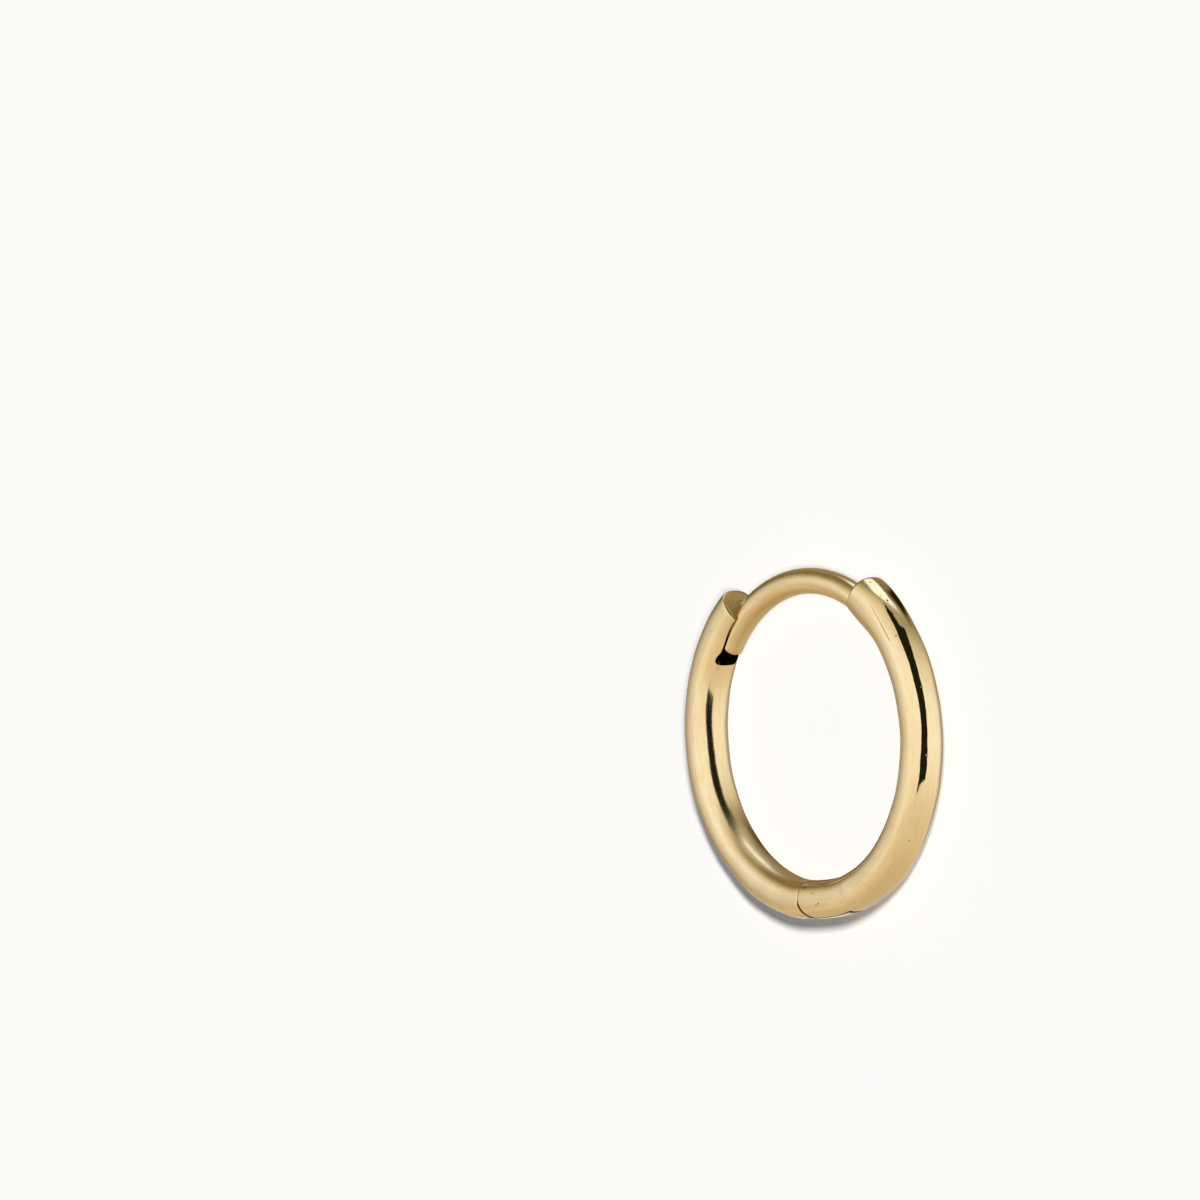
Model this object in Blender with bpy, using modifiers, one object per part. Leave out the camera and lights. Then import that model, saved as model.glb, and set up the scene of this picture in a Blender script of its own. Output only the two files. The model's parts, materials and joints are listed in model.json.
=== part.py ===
"""Plain hinged hoop earring with a curved ear post, closed and lying on its side.

The hoop is a tube of rounded-square section bent into a circle whose axis is Z. The front half carries
the hinge ears and the soldered post, the back half the hinge tongue and the channel that takes the post.
"""

import math

import bmesh
import bpy

MM = 0.001

# Driving dimensions of the ring
HOOP_DIAMETER = 12.0 * MM
TUBE_WIDTH = 1.36 * MM
TUBE_THICKNESS = 1.26 * MM
TUBE_SQUARENESS = 2.42
EDGE_ROUNDING = 0.05 * MM

# Where the two halves end, as angles about the hoop's axis from the front, rising towards the post
FRONT_END = math.radians(62.3)
BACK_END = math.radians(132.3)

# Ear post, a round wire on an arc of its own that is shifted a little towards the front
POST_DIAMETER = 0.84 * MM
POST_ARC_RADIUS = 5.01 * MM
POST_ARC_SHIFT = 0.12 * MM
POST_TIP = math.radians(148.5)
POST_ROOT = math.radians(60.5)
POST_TIP_CHAMFER = 0.12 * MM
POST_TIP_SHARE = 0.72

# Catch channel in the back half
CHANNEL_END = math.radians(155.5)
CHANNEL_SIDE_GAP = 0.04 * MM
CHANNEL_FLOOR_GAP = 0.06 * MM

# Hinge
PIN_SHIFT = 0.76 * MM
PIN_RISE = 0.08 * MM
PIN_DIAMETER = 0.44 * MM
PIN_GAP = 0.02 * MM
TONGUE_REACH = 1.36 * MM
SLOT_WIDTH = 0.62 * MM
SLOT_END_GAP = 0.06 * MM
TONGUE_GAP = 0.035 * MM
SEAM_GAP = 0.03 * MM
RELIEF_GAP = 0.06 * MM

# Fineness of the facets
RING_STEPS = 96
SECTION_SIDES = 24
ARC_STEPS = 12
POST_STEPS = 24
POST_SIDES = 12
PIN_SIDES = 16

# Worked out from the sizes above
TUBE_RADIUS = (HOOP_DIAMETER - TUBE_THICKNESS) / 2
CUTTER_REACH = 0.75 * HOOP_DIAMETER
BORE_RADIUS = PIN_DIAMETER / 2 + PIN_GAP
CHANNEL_WIDTH = POST_DIAMETER + 2 * CHANNEL_SIDE_GAP
CHANNEL_FLOOR = POST_ARC_RADIUS + POST_DIAMETER / 2 + CHANNEL_FLOOR_GAP
TONGUE_WIDTH = SLOT_WIDTH - 2 * TONGUE_GAP
MERGE = 0.001 * MM

# The origin is under the middle of the whole earring, so the ring's centre lies a little off it
POST_TOP = POST_ARC_RADIUS + POST_DIAMETER / 2
CENTRE_X = 0.0
CENTRE_Y = (HOOP_DIAMETER / 2 - POST_TOP) / 2
CENTRE_Z = TUBE_WIDTH / 2
PIN_X = CENTRE_X + PIN_SHIFT
PIN_Y = CENTRE_Y + PIN_RISE - math.sqrt(TUBE_RADIUS ** 2 - PIN_SHIFT ** 2)


def clear_scene():
    """Removes whatever objects the file starts with."""
    for obj in list(bpy.data.objects):
        bpy.data.objects.remove(obj, do_unlink=True)


def polar(radius, angle, centre=(0.0, 0.0)):
    """Returns the point at a radius and an angle from a centre."""
    return (centre[0] + radius * math.cos(angle), centre[1] + radius * math.sin(angle))


def arc(radius, start, end, centre=(0.0, 0.0), steps=ARC_STEPS):
    """Returns evenly spaced points on an arc, both ends included."""
    return [polar(radius, start + (end - start) * i / steps, centre) for i in range(steps + 1)]


def section_point(angle):
    """Returns a point of the tube's section, as radial and axial distance from its middle."""
    power = 2 / TUBE_SQUARENESS
    across = math.copysign(abs(math.cos(angle)) ** power, math.cos(angle))
    along = math.copysign(abs(math.sin(angle)) ** power, math.sin(angle))
    return across * TUBE_THICKNESS / 2, along * TUBE_WIDTH / 2


def section_loop():
    """Returns the section's corners, the outer side running downwards, with flats on all four sides."""
    step = 2 * math.pi / SECTION_SIDES
    corners = [section_point(-step * (i + 0.5)) for i in range(SECTION_SIDES)]
    widest = max(across for across, along in corners)
    tallest = max(along for across, along in corners)
    across_scale = TUBE_THICKNESS / 2 / widest
    along_scale = TUBE_WIDTH / 2 / tallest
    return [(across * across_scale, along * along_scale) for across, along in corners]


def ring_profile_mesh():
    """Makes the closed outline of the tube's section, standing at its distance from the hoop's axis."""
    loop = section_loop()
    mesh = bpy.data.meshes.new("tube_section")
    points = [(TUBE_RADIUS + across, 0.0, along) for across, along in loop]
    edges = [(i, (i + 1) % len(loop)) for i in range(len(loop))]
    mesh.from_pydata(points, edges, [])
    return mesh


def ring_blank(name, mesh, material, collection):
    """Makes a whole ring, turned from the section, which a half or the pin is then cut from."""
    obj = bpy.data.objects.new(name, mesh)
    obj.data = mesh.copy()
    obj.data.materials.append(material)
    collection.objects.link(obj)
    obj.location = (CENTRE_X, CENTRE_Y, CENTRE_Z)
    turn = obj.modifiers.new("turn", "SCREW")
    turn.axis = "Z"
    turn.angle = 2 * math.pi
    turn.steps = RING_STEPS
    turn.render_steps = RING_STEPS
    turn.use_merge_vertices = True
    turn.merge_threshold = MERGE
    turn.use_smooth_shade = True
    return obj


def weld(mesh):
    """Closes a mesh's seams and turns its faces outwards."""
    bm = bmesh.new()
    bm.from_mesh(mesh)
    bmesh.ops.remove_doubles(bm, verts=bm.verts, dist=MERGE)
    bmesh.ops.recalc_face_normals(bm, faces=bm.faces)
    bm.to_mesh(mesh)
    bm.free()


def as_cutter(obj, collection):
    """Puts an object with the cutters and shows it as wire only."""
    for owner in list(obj.users_collection):
        owner.objects.unlink(obj)
    collection.objects.link(obj)
    obj.hide_render = True
    obj.display_type = "WIRE"
    return obj


def curve_to_solid(name, curve, collection):
    """Turns a curve into a welded mesh among the cutters."""
    carrier = bpy.data.objects.new(name + "_curve", curve)
    collection.objects.link(carrier)
    bpy.context.view_layer.update()
    depsgraph = bpy.context.evaluated_depsgraph_get()
    mesh = bpy.data.meshes.new_from_object(carrier.evaluated_get(depsgraph))
    mesh.name = name
    weld(mesh)
    solid = bpy.data.objects.new(name, mesh)
    collection.objects.link(solid)
    solid.matrix_world = carrier.matrix_world
    bpy.data.objects.remove(carrier, do_unlink=True)
    bpy.data.curves.remove(curve)
    return as_cutter(solid, collection)


def outline_cutter(name, points, height, collection):
    """Extrudes a flat outline to both sides of the hoop's middle plane."""
    curve = bpy.data.curves.new(name, "CURVE")
    curve.dimensions = "2D"
    curve.fill_mode = "BOTH"
    curve.extrude = height / 2
    spline = curve.splines.new("POLY")
    spline.points.add(len(points) - 1)
    for point, (x, y) in zip(spline.points, points):
        point.co = (x, y, 0.0, 1.0)
    spline.use_cyclic_u = True
    solid = curve_to_solid(name, curve, collection)
    solid.location = (CENTRE_X, CENTRE_Y, CENTRE_Z)
    return solid


def pin_cutter(name, radius, collection):
    """Makes a round bar on the hinge's axis, longer than the tube is wide."""
    bpy.ops.mesh.primitive_cylinder_add(vertices=PIN_SIDES, radius=radius, depth=2 * TUBE_WIDTH,
                                        location=(PIN_X, PIN_Y, CENTRE_Z))
    bar = bpy.context.object
    bar.name = name
    return as_cutter(bar, collection)


def pin_centre():
    """Returns the hinge pin's place, measured from the ring's centre."""
    return (PIN_X - CENTRE_X, PIN_Y - CENTRE_Y)


def front_outline():
    """Returns the region of the front half, from the rounded ears round to its squared end."""
    seam = SEAM_GAP / 2
    ears = arc(PIN_SHIFT - seam, math.pi, 1.42 * math.pi, pin_centre())
    sweep = arc(CUTTER_REACH, math.radians(-84), FRONT_END)
    return [(0.0, 0.0), (seam, 0.0)] + ears + sweep


def back_outline():
    """Returns the region of the back half, with the hollow shoulder that clears the ears."""
    seam = SEAM_GAP / 2
    shoulder = arc(PIN_SHIFT - seam + RELIEF_GAP, math.pi, 1.42 * math.pi, pin_centre())
    sweep = arc(CUTTER_REACH, math.radians(-91), BACK_END - 2 * math.pi)
    return [(0.0, 0.0), (-seam, 0.0), (-seam, pin_centre()[1])] + shoulder + sweep


def end_about_pin(radius, open_end):
    """Returns a strip along the tube whose far end is an arc about the hinge's pin."""
    round_end = arc(radius, math.pi / 2, -math.pi / 2, pin_centre())
    return [(open_end, round_end[0][1])] + round_end + [(open_end, round_end[-1][1])]


def tongue_outline():
    """Returns the hinge tongue, which fills the slot flush and turns past the slot's end."""
    return end_about_pin(TONGUE_REACH, -PIN_SHIFT)


def slot_outline():
    """Returns the slot between the ears, open towards the back half and through the tube."""
    return end_about_pin(TONGUE_REACH + SLOT_END_GAP, -TUBE_THICKNESS)


def channel_outline():
    """Returns the channel for the post, open on the hoop's inner side and at the back half's end."""
    centre = (POST_ARC_SHIFT, 0.0)
    margin = math.radians(8)
    floor = arc(CHANNEL_FLOOR, BACK_END - margin, CHANNEL_END, centre)
    mouth = arc(TUBE_RADIUS - TUBE_THICKNESS, CHANNEL_END, BACK_END - margin, steps=2)
    return floor + mouth


def post_solid(collection):
    """Makes the ear post, a round wire along its arc with a chamfered tip."""
    curve = bpy.data.curves.new("post", "CURVE")
    curve.dimensions = "3D"
    curve.bevel_depth = POST_DIAMETER / 2
    curve.bevel_resolution = (POST_SIDES - 4) // 2
    curve.use_fill_caps = True
    centre = (POST_ARC_SHIFT, 0.0)
    chamfer = POST_TIP - POST_TIP_CHAMFER / POST_ARC_RADIUS
    path = arc(POST_ARC_RADIUS, POST_ROOT, chamfer, centre, POST_STEPS)
    path.append(polar(POST_ARC_RADIUS, POST_TIP, centre))
    spline = curve.splines.new("POLY")
    spline.points.add(len(path) - 1)
    for point, (x, y) in zip(spline.points, path):
        point.co = (x, y, 0.0, 1.0)
    spline.points[-1].radius = POST_TIP_SHARE
    solid = curve_to_solid("post", curve, collection)
    solid.location = (CENTRE_X, CENTRE_Y, CENTRE_Z)
    return solid


def combine(obj, other, operation):
    """Adds an exact Boolean with another solid."""
    step = obj.modifiers.new(other.name, "BOOLEAN")
    step.operation = operation
    step.object = other
    step.solver = "EXACT"


def round_edges(obj):
    """Eases the cut edges, and leaves the tube's own facets alone."""
    ease = obj.modifiers.new("eased_edges", "BEVEL")
    ease.width = EDGE_ROUNDING
    ease.segments = 1
    ease.limit_method = "ANGLE"
    ease.angle_limit = math.radians(60)
    ease.use_clamp_overlap = True


def metal(name, colour, roughness):
    """Makes a polished metal."""
    material = bpy.data.materials.new(name)
    material.use_nodes = True
    shader = material.node_tree.nodes["Principled BSDF"]
    shader.inputs["Base Color"].default_value = (*colour, 1.0)
    shader.inputs["Metallic"].default_value = 1.0
    shader.inputs["Roughness"].default_value = roughness
    return material


def hang_on(child, parent):
    """Parents an object and keeps it where it is."""
    bpy.context.view_layer.update()
    child.parent = parent
    child.matrix_parent_inverse = parent.matrix_world.inverted()


def build_front_half(profile, parts, cutters):
    """Cuts the front half from the ring, slots and bores its ears and joins the post to its end."""
    front = ring_blank("front_half", profile, metal("front_gold", (0.83, 0.62, 0.32), 0.12), parts)
    combine(front, outline_cutter("front_region", front_outline(), CUTTER_REACH, cutters), "INTERSECT")
    round_edges(front)
    combine(front, outline_cutter("ear_slot", slot_outline(), SLOT_WIDTH, cutters), "DIFFERENCE")
    combine(front, pin_cutter("ear_bore", BORE_RADIUS, cutters), "DIFFERENCE")
    combine(front, post_solid(cutters), "UNION")
    return front


def build_back_half(profile, parts, cutters):
    """Cuts the back half from the ring with its tongue, bore and post channel, on the hinge's axis."""
    back = ring_blank("back_half", profile, metal("back_gold", (0.80, 0.59, 0.30), 0.14), parts)
    region = outline_cutter("back_region", back_outline(), CUTTER_REACH, cutters)
    combine(region, outline_cutter("tongue", tongue_outline(), TONGUE_WIDTH, cutters), "UNION")
    combine(back, region, "INTERSECT")
    combine(back, outline_cutter("post_channel", channel_outline(), CHANNEL_WIDTH, cutters), "DIFFERENCE")
    combine(back, pin_cutter("tongue_bore", BORE_RADIUS, cutters), "DIFFERENCE")
    axis = bpy.data.objects.new("hinge_axis", None)
    axis.location = (PIN_X, PIN_Y, CENTRE_Z)
    parts.objects.link(axis)
    hang_on(back, axis)
    return back


def build_hinge_pin(profile, parts, cutters):
    """Cuts the pin from the ring, so that its ends are flush with the tube."""
    pin = ring_blank("hinge_pin", profile, metal("pin_gold", (0.78, 0.57, 0.28), 0.18), parts)
    combine(pin, pin_cutter("pin_bar", PIN_DIAMETER / 2, cutters), "INTERSECT")
    return pin


def main():
    """Builds the earring."""
    clear_scene()
    parts = bpy.data.collections.new("hinged_hoop_earring")
    cutters = bpy.data.collections.new("cutters")
    bpy.context.scene.collection.children.link(parts)
    bpy.context.scene.collection.children.link(cutters)
    profile = ring_profile_mesh()
    build_front_half(profile, parts, cutters)
    build_back_half(profile, parts, cutters)
    build_hinge_pin(profile, parts, cutters)


main()
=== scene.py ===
"""Looks of a plain gold hinged hoop earring, closed and lying on its side.

The ring is a tube of rounded-square section in two halves, which meet at a pinned hinge. A bent wire
post is soldered to the front half's end and lies in a channel at the back half's end. The ring's axis is
Z, the front half is on the side of +X, and the post is on the side of +Y.
"""

import json
import logging
import math
from dataclasses import dataclass
from enum import Enum
from typing import Any, Callable, Optional, Sequence, Union

import bmesh
import bpy
from mathutils import Matrix, Vector


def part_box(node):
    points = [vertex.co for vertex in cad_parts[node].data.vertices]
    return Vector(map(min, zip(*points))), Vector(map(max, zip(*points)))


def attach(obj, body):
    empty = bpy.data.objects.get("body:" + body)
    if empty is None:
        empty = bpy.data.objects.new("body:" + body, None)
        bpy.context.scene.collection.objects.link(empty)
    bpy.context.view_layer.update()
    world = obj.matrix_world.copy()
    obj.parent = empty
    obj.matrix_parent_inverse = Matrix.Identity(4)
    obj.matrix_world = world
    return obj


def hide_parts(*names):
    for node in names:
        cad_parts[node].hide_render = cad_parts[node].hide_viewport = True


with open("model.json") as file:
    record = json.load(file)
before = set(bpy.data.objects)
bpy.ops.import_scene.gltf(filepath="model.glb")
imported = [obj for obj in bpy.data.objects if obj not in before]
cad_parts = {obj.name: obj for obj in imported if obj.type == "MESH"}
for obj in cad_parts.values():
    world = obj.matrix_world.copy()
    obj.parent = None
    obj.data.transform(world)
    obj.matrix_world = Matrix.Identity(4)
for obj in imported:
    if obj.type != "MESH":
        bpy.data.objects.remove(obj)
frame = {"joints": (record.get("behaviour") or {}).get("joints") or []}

LOG = logging.getLogger("hoop_earring")

MM = 0.001
FULL_TURN = 2 * math.pi
QUARTER_TURN = math.pi / 2
MERGE = 0.0001 * MM
SHARP_EDGE = math.radians(50)
BELOW_TWO_FACES = 1.5
NEARLY_ALL = 0.99999

# Only these pieces show mirrored in the others' polish.
MIRRORED_PIECES = ("back_tube",)

Number = Union[int, float]
Colour = tuple[float, float, float]


# Node writing

class Wire:
    """A node's output that can stand in sums, products and comparisons."""

    def __init__(self, net: "Net", socket: bpy.types.NodeSocket) -> None:
        """Remembers the socket and the net that it belongs to."""
        self.net = net
        self.socket = socket

    @property
    def is_vector(self) -> bool:
        """Tells a colour or a vector from a single number."""
        return self.socket.type in {"VECTOR", "RGBA"}

    def combined(self, operation: str, first: "Value", second: "Value") -> "Wire":
        """Joins two values with one operation.

        Args:
            operation: The name of the operation, which Math and Vector Math share.
            first: The left value.
            second: The right value.

        Returns:
            The result, a vector where either value is one.
        """
        vector = any(isinstance(value, Wire) and value.is_vector for value in (first, second))
        kind = "ShaderNodeVectorMath" if vector else "ShaderNodeMath"
        return self.net.node(kind, {"operation": operation}, {0: first, 1: second})

    def __add__(self, other: "Value") -> "Wire":
        """Adds a value."""
        return self.combined("ADD", self, other)

    def __radd__(self, other: "Value") -> "Wire":
        """Adds this to a value."""
        return self.combined("ADD", other, self)

    def __sub__(self, other: "Value") -> "Wire":
        """Takes a value away."""
        return self.combined("SUBTRACT", self, other)

    def __rsub__(self, other: "Value") -> "Wire":
        """Takes this away from a value."""
        return self.combined("SUBTRACT", other, self)

    def __mul__(self, other: "Value") -> "Wire":
        """Multiplies by a value."""
        return self.combined("MULTIPLY", self, other)

    def __rmul__(self, other: "Value") -> "Wire":
        """Multiplies a value by this."""
        return self.combined("MULTIPLY", other, self)

    def __truediv__(self, other: "Value") -> "Wire":
        """Divides by a value."""
        return self.combined("DIVIDE", self, other)

    def __rtruediv__(self, other: "Value") -> "Wire":
        """Divides a value by this."""
        return self.combined("DIVIDE", other, self)

    def __pow__(self, power: "Value") -> "Wire":
        """Raises to a power."""
        return self.combined("POWER", self, power)

    def __neg__(self) -> "Wire":
        """Turns the sign round."""
        return 0.0 - self

    def __gt__(self, other: "Value") -> "Wire":
        """Gives 1 where this is the greater, else 0."""
        return self.combined("GREATER_THAN", self, other)

    def __lt__(self, other: "Value") -> "Wire":
        """Gives 1 where this is the smaller, else 0."""
        return self.combined("LESS_THAN", self, other)

    def function(self, operation: str) -> "Wire":
        """Applies a Math operation of one value, such as COSINE."""
        return self.net.node("ShaderNodeMath", {"operation": operation}, {0: self})

    def dot(self, direction: Sequence[float]) -> "Wire":
        """Gives the share of this vector along a fixed direction."""
        return self.net.node("ShaderNodeVectorMath", {"operation": "DOT_PRODUCT"},
                             {0: self, 1: tuple(direction)}, "Value")

    def distance(self, point: Sequence[float]) -> "Wire":
        """Gives the distance from this place to a fixed point."""
        return self.net.node("ShaderNodeVectorMath", {"operation": "DISTANCE"},
                             {0: self, 1: tuple(point)}, "Value")

    def parts(self) -> tuple["Wire", "Wire", "Wire"]:
        """Splits this vector.

        Returns:
            Its X, Y and Z.
        """
        split = self.net.tree.nodes.new("ShaderNodeSeparateXYZ")
        self.net.feed(split.inputs[0], self)
        return tuple(Wire(self.net, socket) for socket in split.outputs)

    def length(self) -> "Wire":
        """Gives this vector's length."""
        return self.net.node("ShaderNodeVectorMath", {"operation": "LENGTH"}, {0: self}, "Value")

    def from_axis(self) -> "Wire":
        """Gives this place's distance from the Z axis."""
        return (self * (1.0, 1.0, 0.0)).length()

    def bearing(self) -> "Wire":
        """Gives this place's angle about the Z axis, from +X."""
        x, y, _ = self.parts()
        return self.combined("ARCTAN2", y, x)

    def from_line(self, start: Vector, end: Vector) -> "Wire":
        """Gives the distance from this place to a straight line.

        Args:
            start: The line's first point.
            end: The line's last point.

        Returns:
            The distance to the line's nearest point.
        """
        run = end - start
        from_start = self - tuple(start)
        way = from_start.dot(run / run.length_squared).clamped()
        return (from_start - self.net.vector(way * run.x, way * run.y, way * run.z)).length()

    def larger(self, other: "Value") -> "Wire":
        """Gives the larger of this and a value."""
        return self.combined("MAXIMUM", self, other)

    def clamped(self, low: float = 0.0, high: float = 1.0) -> "Wire":
        """Keeps a number between two limits."""
        return self.net.node("ShaderNodeClamp", {}, {"Value": self, "Min": low, "Max": high})

    def rise(self, low: float, high: float) -> "Wire":
        """Fades smoothly from 0 at one value to 1 at another."""
        return self.net.node("ShaderNodeMapRange", {"interpolation_type": "SMOOTHSTEP"},
                             {"Value": self, "From Min": low, "From Max": high})

    def within(self, low: float, high: float, edge: float) -> "Wire":
        """Gives 1 between two values and 0 outside them, with soft edges of a given width."""
        return self.rise(low - edge, low + edge) * (1 - self.rise(high - edge, high + edge))


Value = Union[Wire, Number, Sequence[float]]


class Net:
    """A node tree, written one expression at a time."""

    def __init__(self, tree: bpy.types.NodeTree) -> None:
        """Takes over a node tree, which starts empty."""
        self.tree = tree
        tree.nodes.clear()

    def feed(self, socket: bpy.types.NodeSocket, value: Any) -> None:
        """Links a wire to an input, or sets the input's own value.

        Args:
            socket: The input.
            value: A wire, a number, three numbers, or whatever else the input holds.
        """
        if isinstance(value, Wire):
            self.tree.links.new(value.socket, socket)
            return
        if socket.type == "RGBA" and not isinstance(value, (int, float)) and len(value) == 3:
            value = (*value, 1.0)
        if socket.type in {"RGBA", "VECTOR"} and isinstance(value, (int, float)):
            value = (value,) * len(socket.default_value)
        socket.default_value = value

    def node(self, kind: str, settings: Optional[dict[str, Any]] = None,
             values: Optional[dict[Union[int, str], Any]] = None,
             output: Union[int, str] = 0) -> Wire:
        """Adds a node.

        Args:
            kind: The node's type.
            settings: The node's own properties, set before its inputs. A ramp's stops are under "stops".
            values: What its inputs get, by their number, identifier or name. A list feeds one input
                many times.
            output: The output that is wanted, by number or name.

        Returns:
            That output.
        """
        made = self.tree.nodes.new(kind)
        for name, setting in (settings or {}).items():
            if name == "stops":
                self.set_stops(made.color_ramp, setting)
            else:
                setattr(made, name, setting)
        for key, value in (values or {}).items():
            socket = self.input_of(made, key)
            for single in value if isinstance(value, list) else [value]:
                self.feed(socket, single)
        return Wire(self, made.outputs[output])

    @staticmethod
    def input_of(made: bpy.types.Node, key: Union[int, str]) -> bpy.types.NodeSocket:
        """Finds an input.

        Args:
            made: The node.
            key: The input's number, identifier or name.

        Returns:
            The input.
        """
        if isinstance(key, int):
            return made.inputs[key]
        by_identifier = [socket for socket in made.inputs if socket.identifier == key]
        return by_identifier[0] if by_identifier else made.inputs[key]

    @staticmethod
    def set_stops(ramp: bpy.types.ColorRamp, stops: Sequence[tuple[float, Colour]]) -> None:
        """Sets a ramp's stops.

        Args:
            ramp: The colour ramp.
            stops: Places from 0 to 1, rising, each with its colour.
        """
        while len(ramp.elements) < len(stops):
            ramp.elements.new(1.0)
        for element, (place, colour) in zip(ramp.elements, stops):
            element.position = place
            element.color = (*colour, 1.0)

    def blend(self, share: Value, first: Value, second: Value) -> Wire:
        """Mixes two colours.

        Args:
            share: How much of the second colour, from 0 to 1.
            first: The first colour.
            second: The second colour.

        Returns:
            The mixed colour.
        """
        return self.node("ShaderNodeMix", {"data_type": "RGBA"},
                         {"Factor_Float": share, "A_Color": first, "B_Color": second}, 2)

    def vector(self, x: Value, y: Value, z: Value) -> Wire:
        """Joins three numbers into a vector."""
        return self.node("ShaderNodeCombineXYZ", {}, {0: x, 1: y, 2: z})

    def number(self, value: Value) -> Wire:
        """Makes sure of a wire.

        Args:
            value: A wire or a fixed number.

        Returns:
            The wire as it is, or one that carries the number.
        """
        if isinstance(value, Wire):
            return value
        wire = self.node("ShaderNodeValue")
        wire.socket.default_value = value
        return wire

    def end_in(self, shader: str, output: str, values: dict[str, Any]) -> None:
        """Ends a shader tree.

        Args:
            shader: The shader's node type.
            output: The type of the output node that it feeds.
            values: What the shader's inputs get.
        """
        shaded = self.node(shader, {}, values)
        last = self.tree.nodes.new(output)
        self.feed(last.inputs["Surface"], shaded)


class PieceTree(Net):
    """A Geometry Nodes tree with named inputs for its sizes, which makes and dresses one piece."""

    SOCKET_TYPES = {int: "NodeSocketInt", float: "NodeSocketFloat", Vector: "NodeSocketVector"}

    def __init__(self, name: str, sizes: dict[str, Union[Number, Vector]]) -> None:
        """Makes the tree's inputs and its output.

        Args:
            name: The tree's name.
            sizes: What each size input is called, with the value that it gets.
        """
        super().__init__(bpy.data.node_groups.new(name, "GeometryNodeTree"))
        self.add_socket("Base", "NodeSocketGeometry")
        self.sizes = {self.add_socket(label, self.SOCKET_TYPES[type(value)]): value
                      for label, value in sizes.items()}
        self.metal = self.add_socket("Metal", "NodeSocketMaterial")
        self.add_socket("Piece", "NodeSocketGeometry", "OUTPUT")
        outputs = self.tree.nodes.new("NodeGroupInput").outputs
        self.given = {socket.name: Wire(self, socket) for socket in outputs if socket.name}

    def add_socket(self, label: str, kind: str, side: str = "INPUT") -> str:
        """Adds an input or an output to the tree and gives its identifier."""
        return self.tree.interface.new_socket(label, in_out=side, socket_type=kind).identifier

    def finish(self, geometry: Wire) -> None:
        """Ends the tree.

        Args:
            geometry: The finished shape, which is made real and gets the metal.
        """
        real = self.node("GeometryNodeRealizeInstances", {}, {0: geometry})
        dressed = self.node("GeometryNodeSetMaterial", {},
                            {"Geometry": real, "Material": self.given["Metal"]})
        self.feed(self.tree.nodes.new("NodeGroupOutput").inputs[0], dressed)

    def run(self, name: str, base: bpy.types.Mesh, metal: bpy.types.Material) -> bpy.types.Object:
        """Runs the tree on a mesh and keeps the result as a plain mesh.

        Args:
            name: The new piece's name.
            base: The mesh that the tree starts from.
            metal: The piece's material.

        Returns:
            The piece, at the origin, with no modifier.
        """
        piece = linked(name, base)
        modifier = piece.modifiers.new("make", "NODES")
        modifier.node_group = self.tree
        for identifier, value in self.sizes.items():
            modifier[identifier] = value
        modifier[self.metal] = metal
        return settle(piece)


def left_to_rise(depth: Value) -> Value:
    """Gives how much of its height a quarter round has still to rise.

    Args:
        depth: How far along the round the place is, from 0 to 1.

    Returns:
        A number from 1 at its start to 0 at its end.
    """
    if isinstance(depth, Wire):
        return 1 - (depth * (2 - depth)).function("SQRT")
    return 1 - math.sqrt(depth * (2 - depth))


# The ring's plan

@dataclass(frozen=True)
class Unevenness:
    """A place where the hand-finished tube strays a little from its rule."""

    angle: float
    reach: float
    outward: float = 0.0
    thicker: float = 0.0


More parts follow.
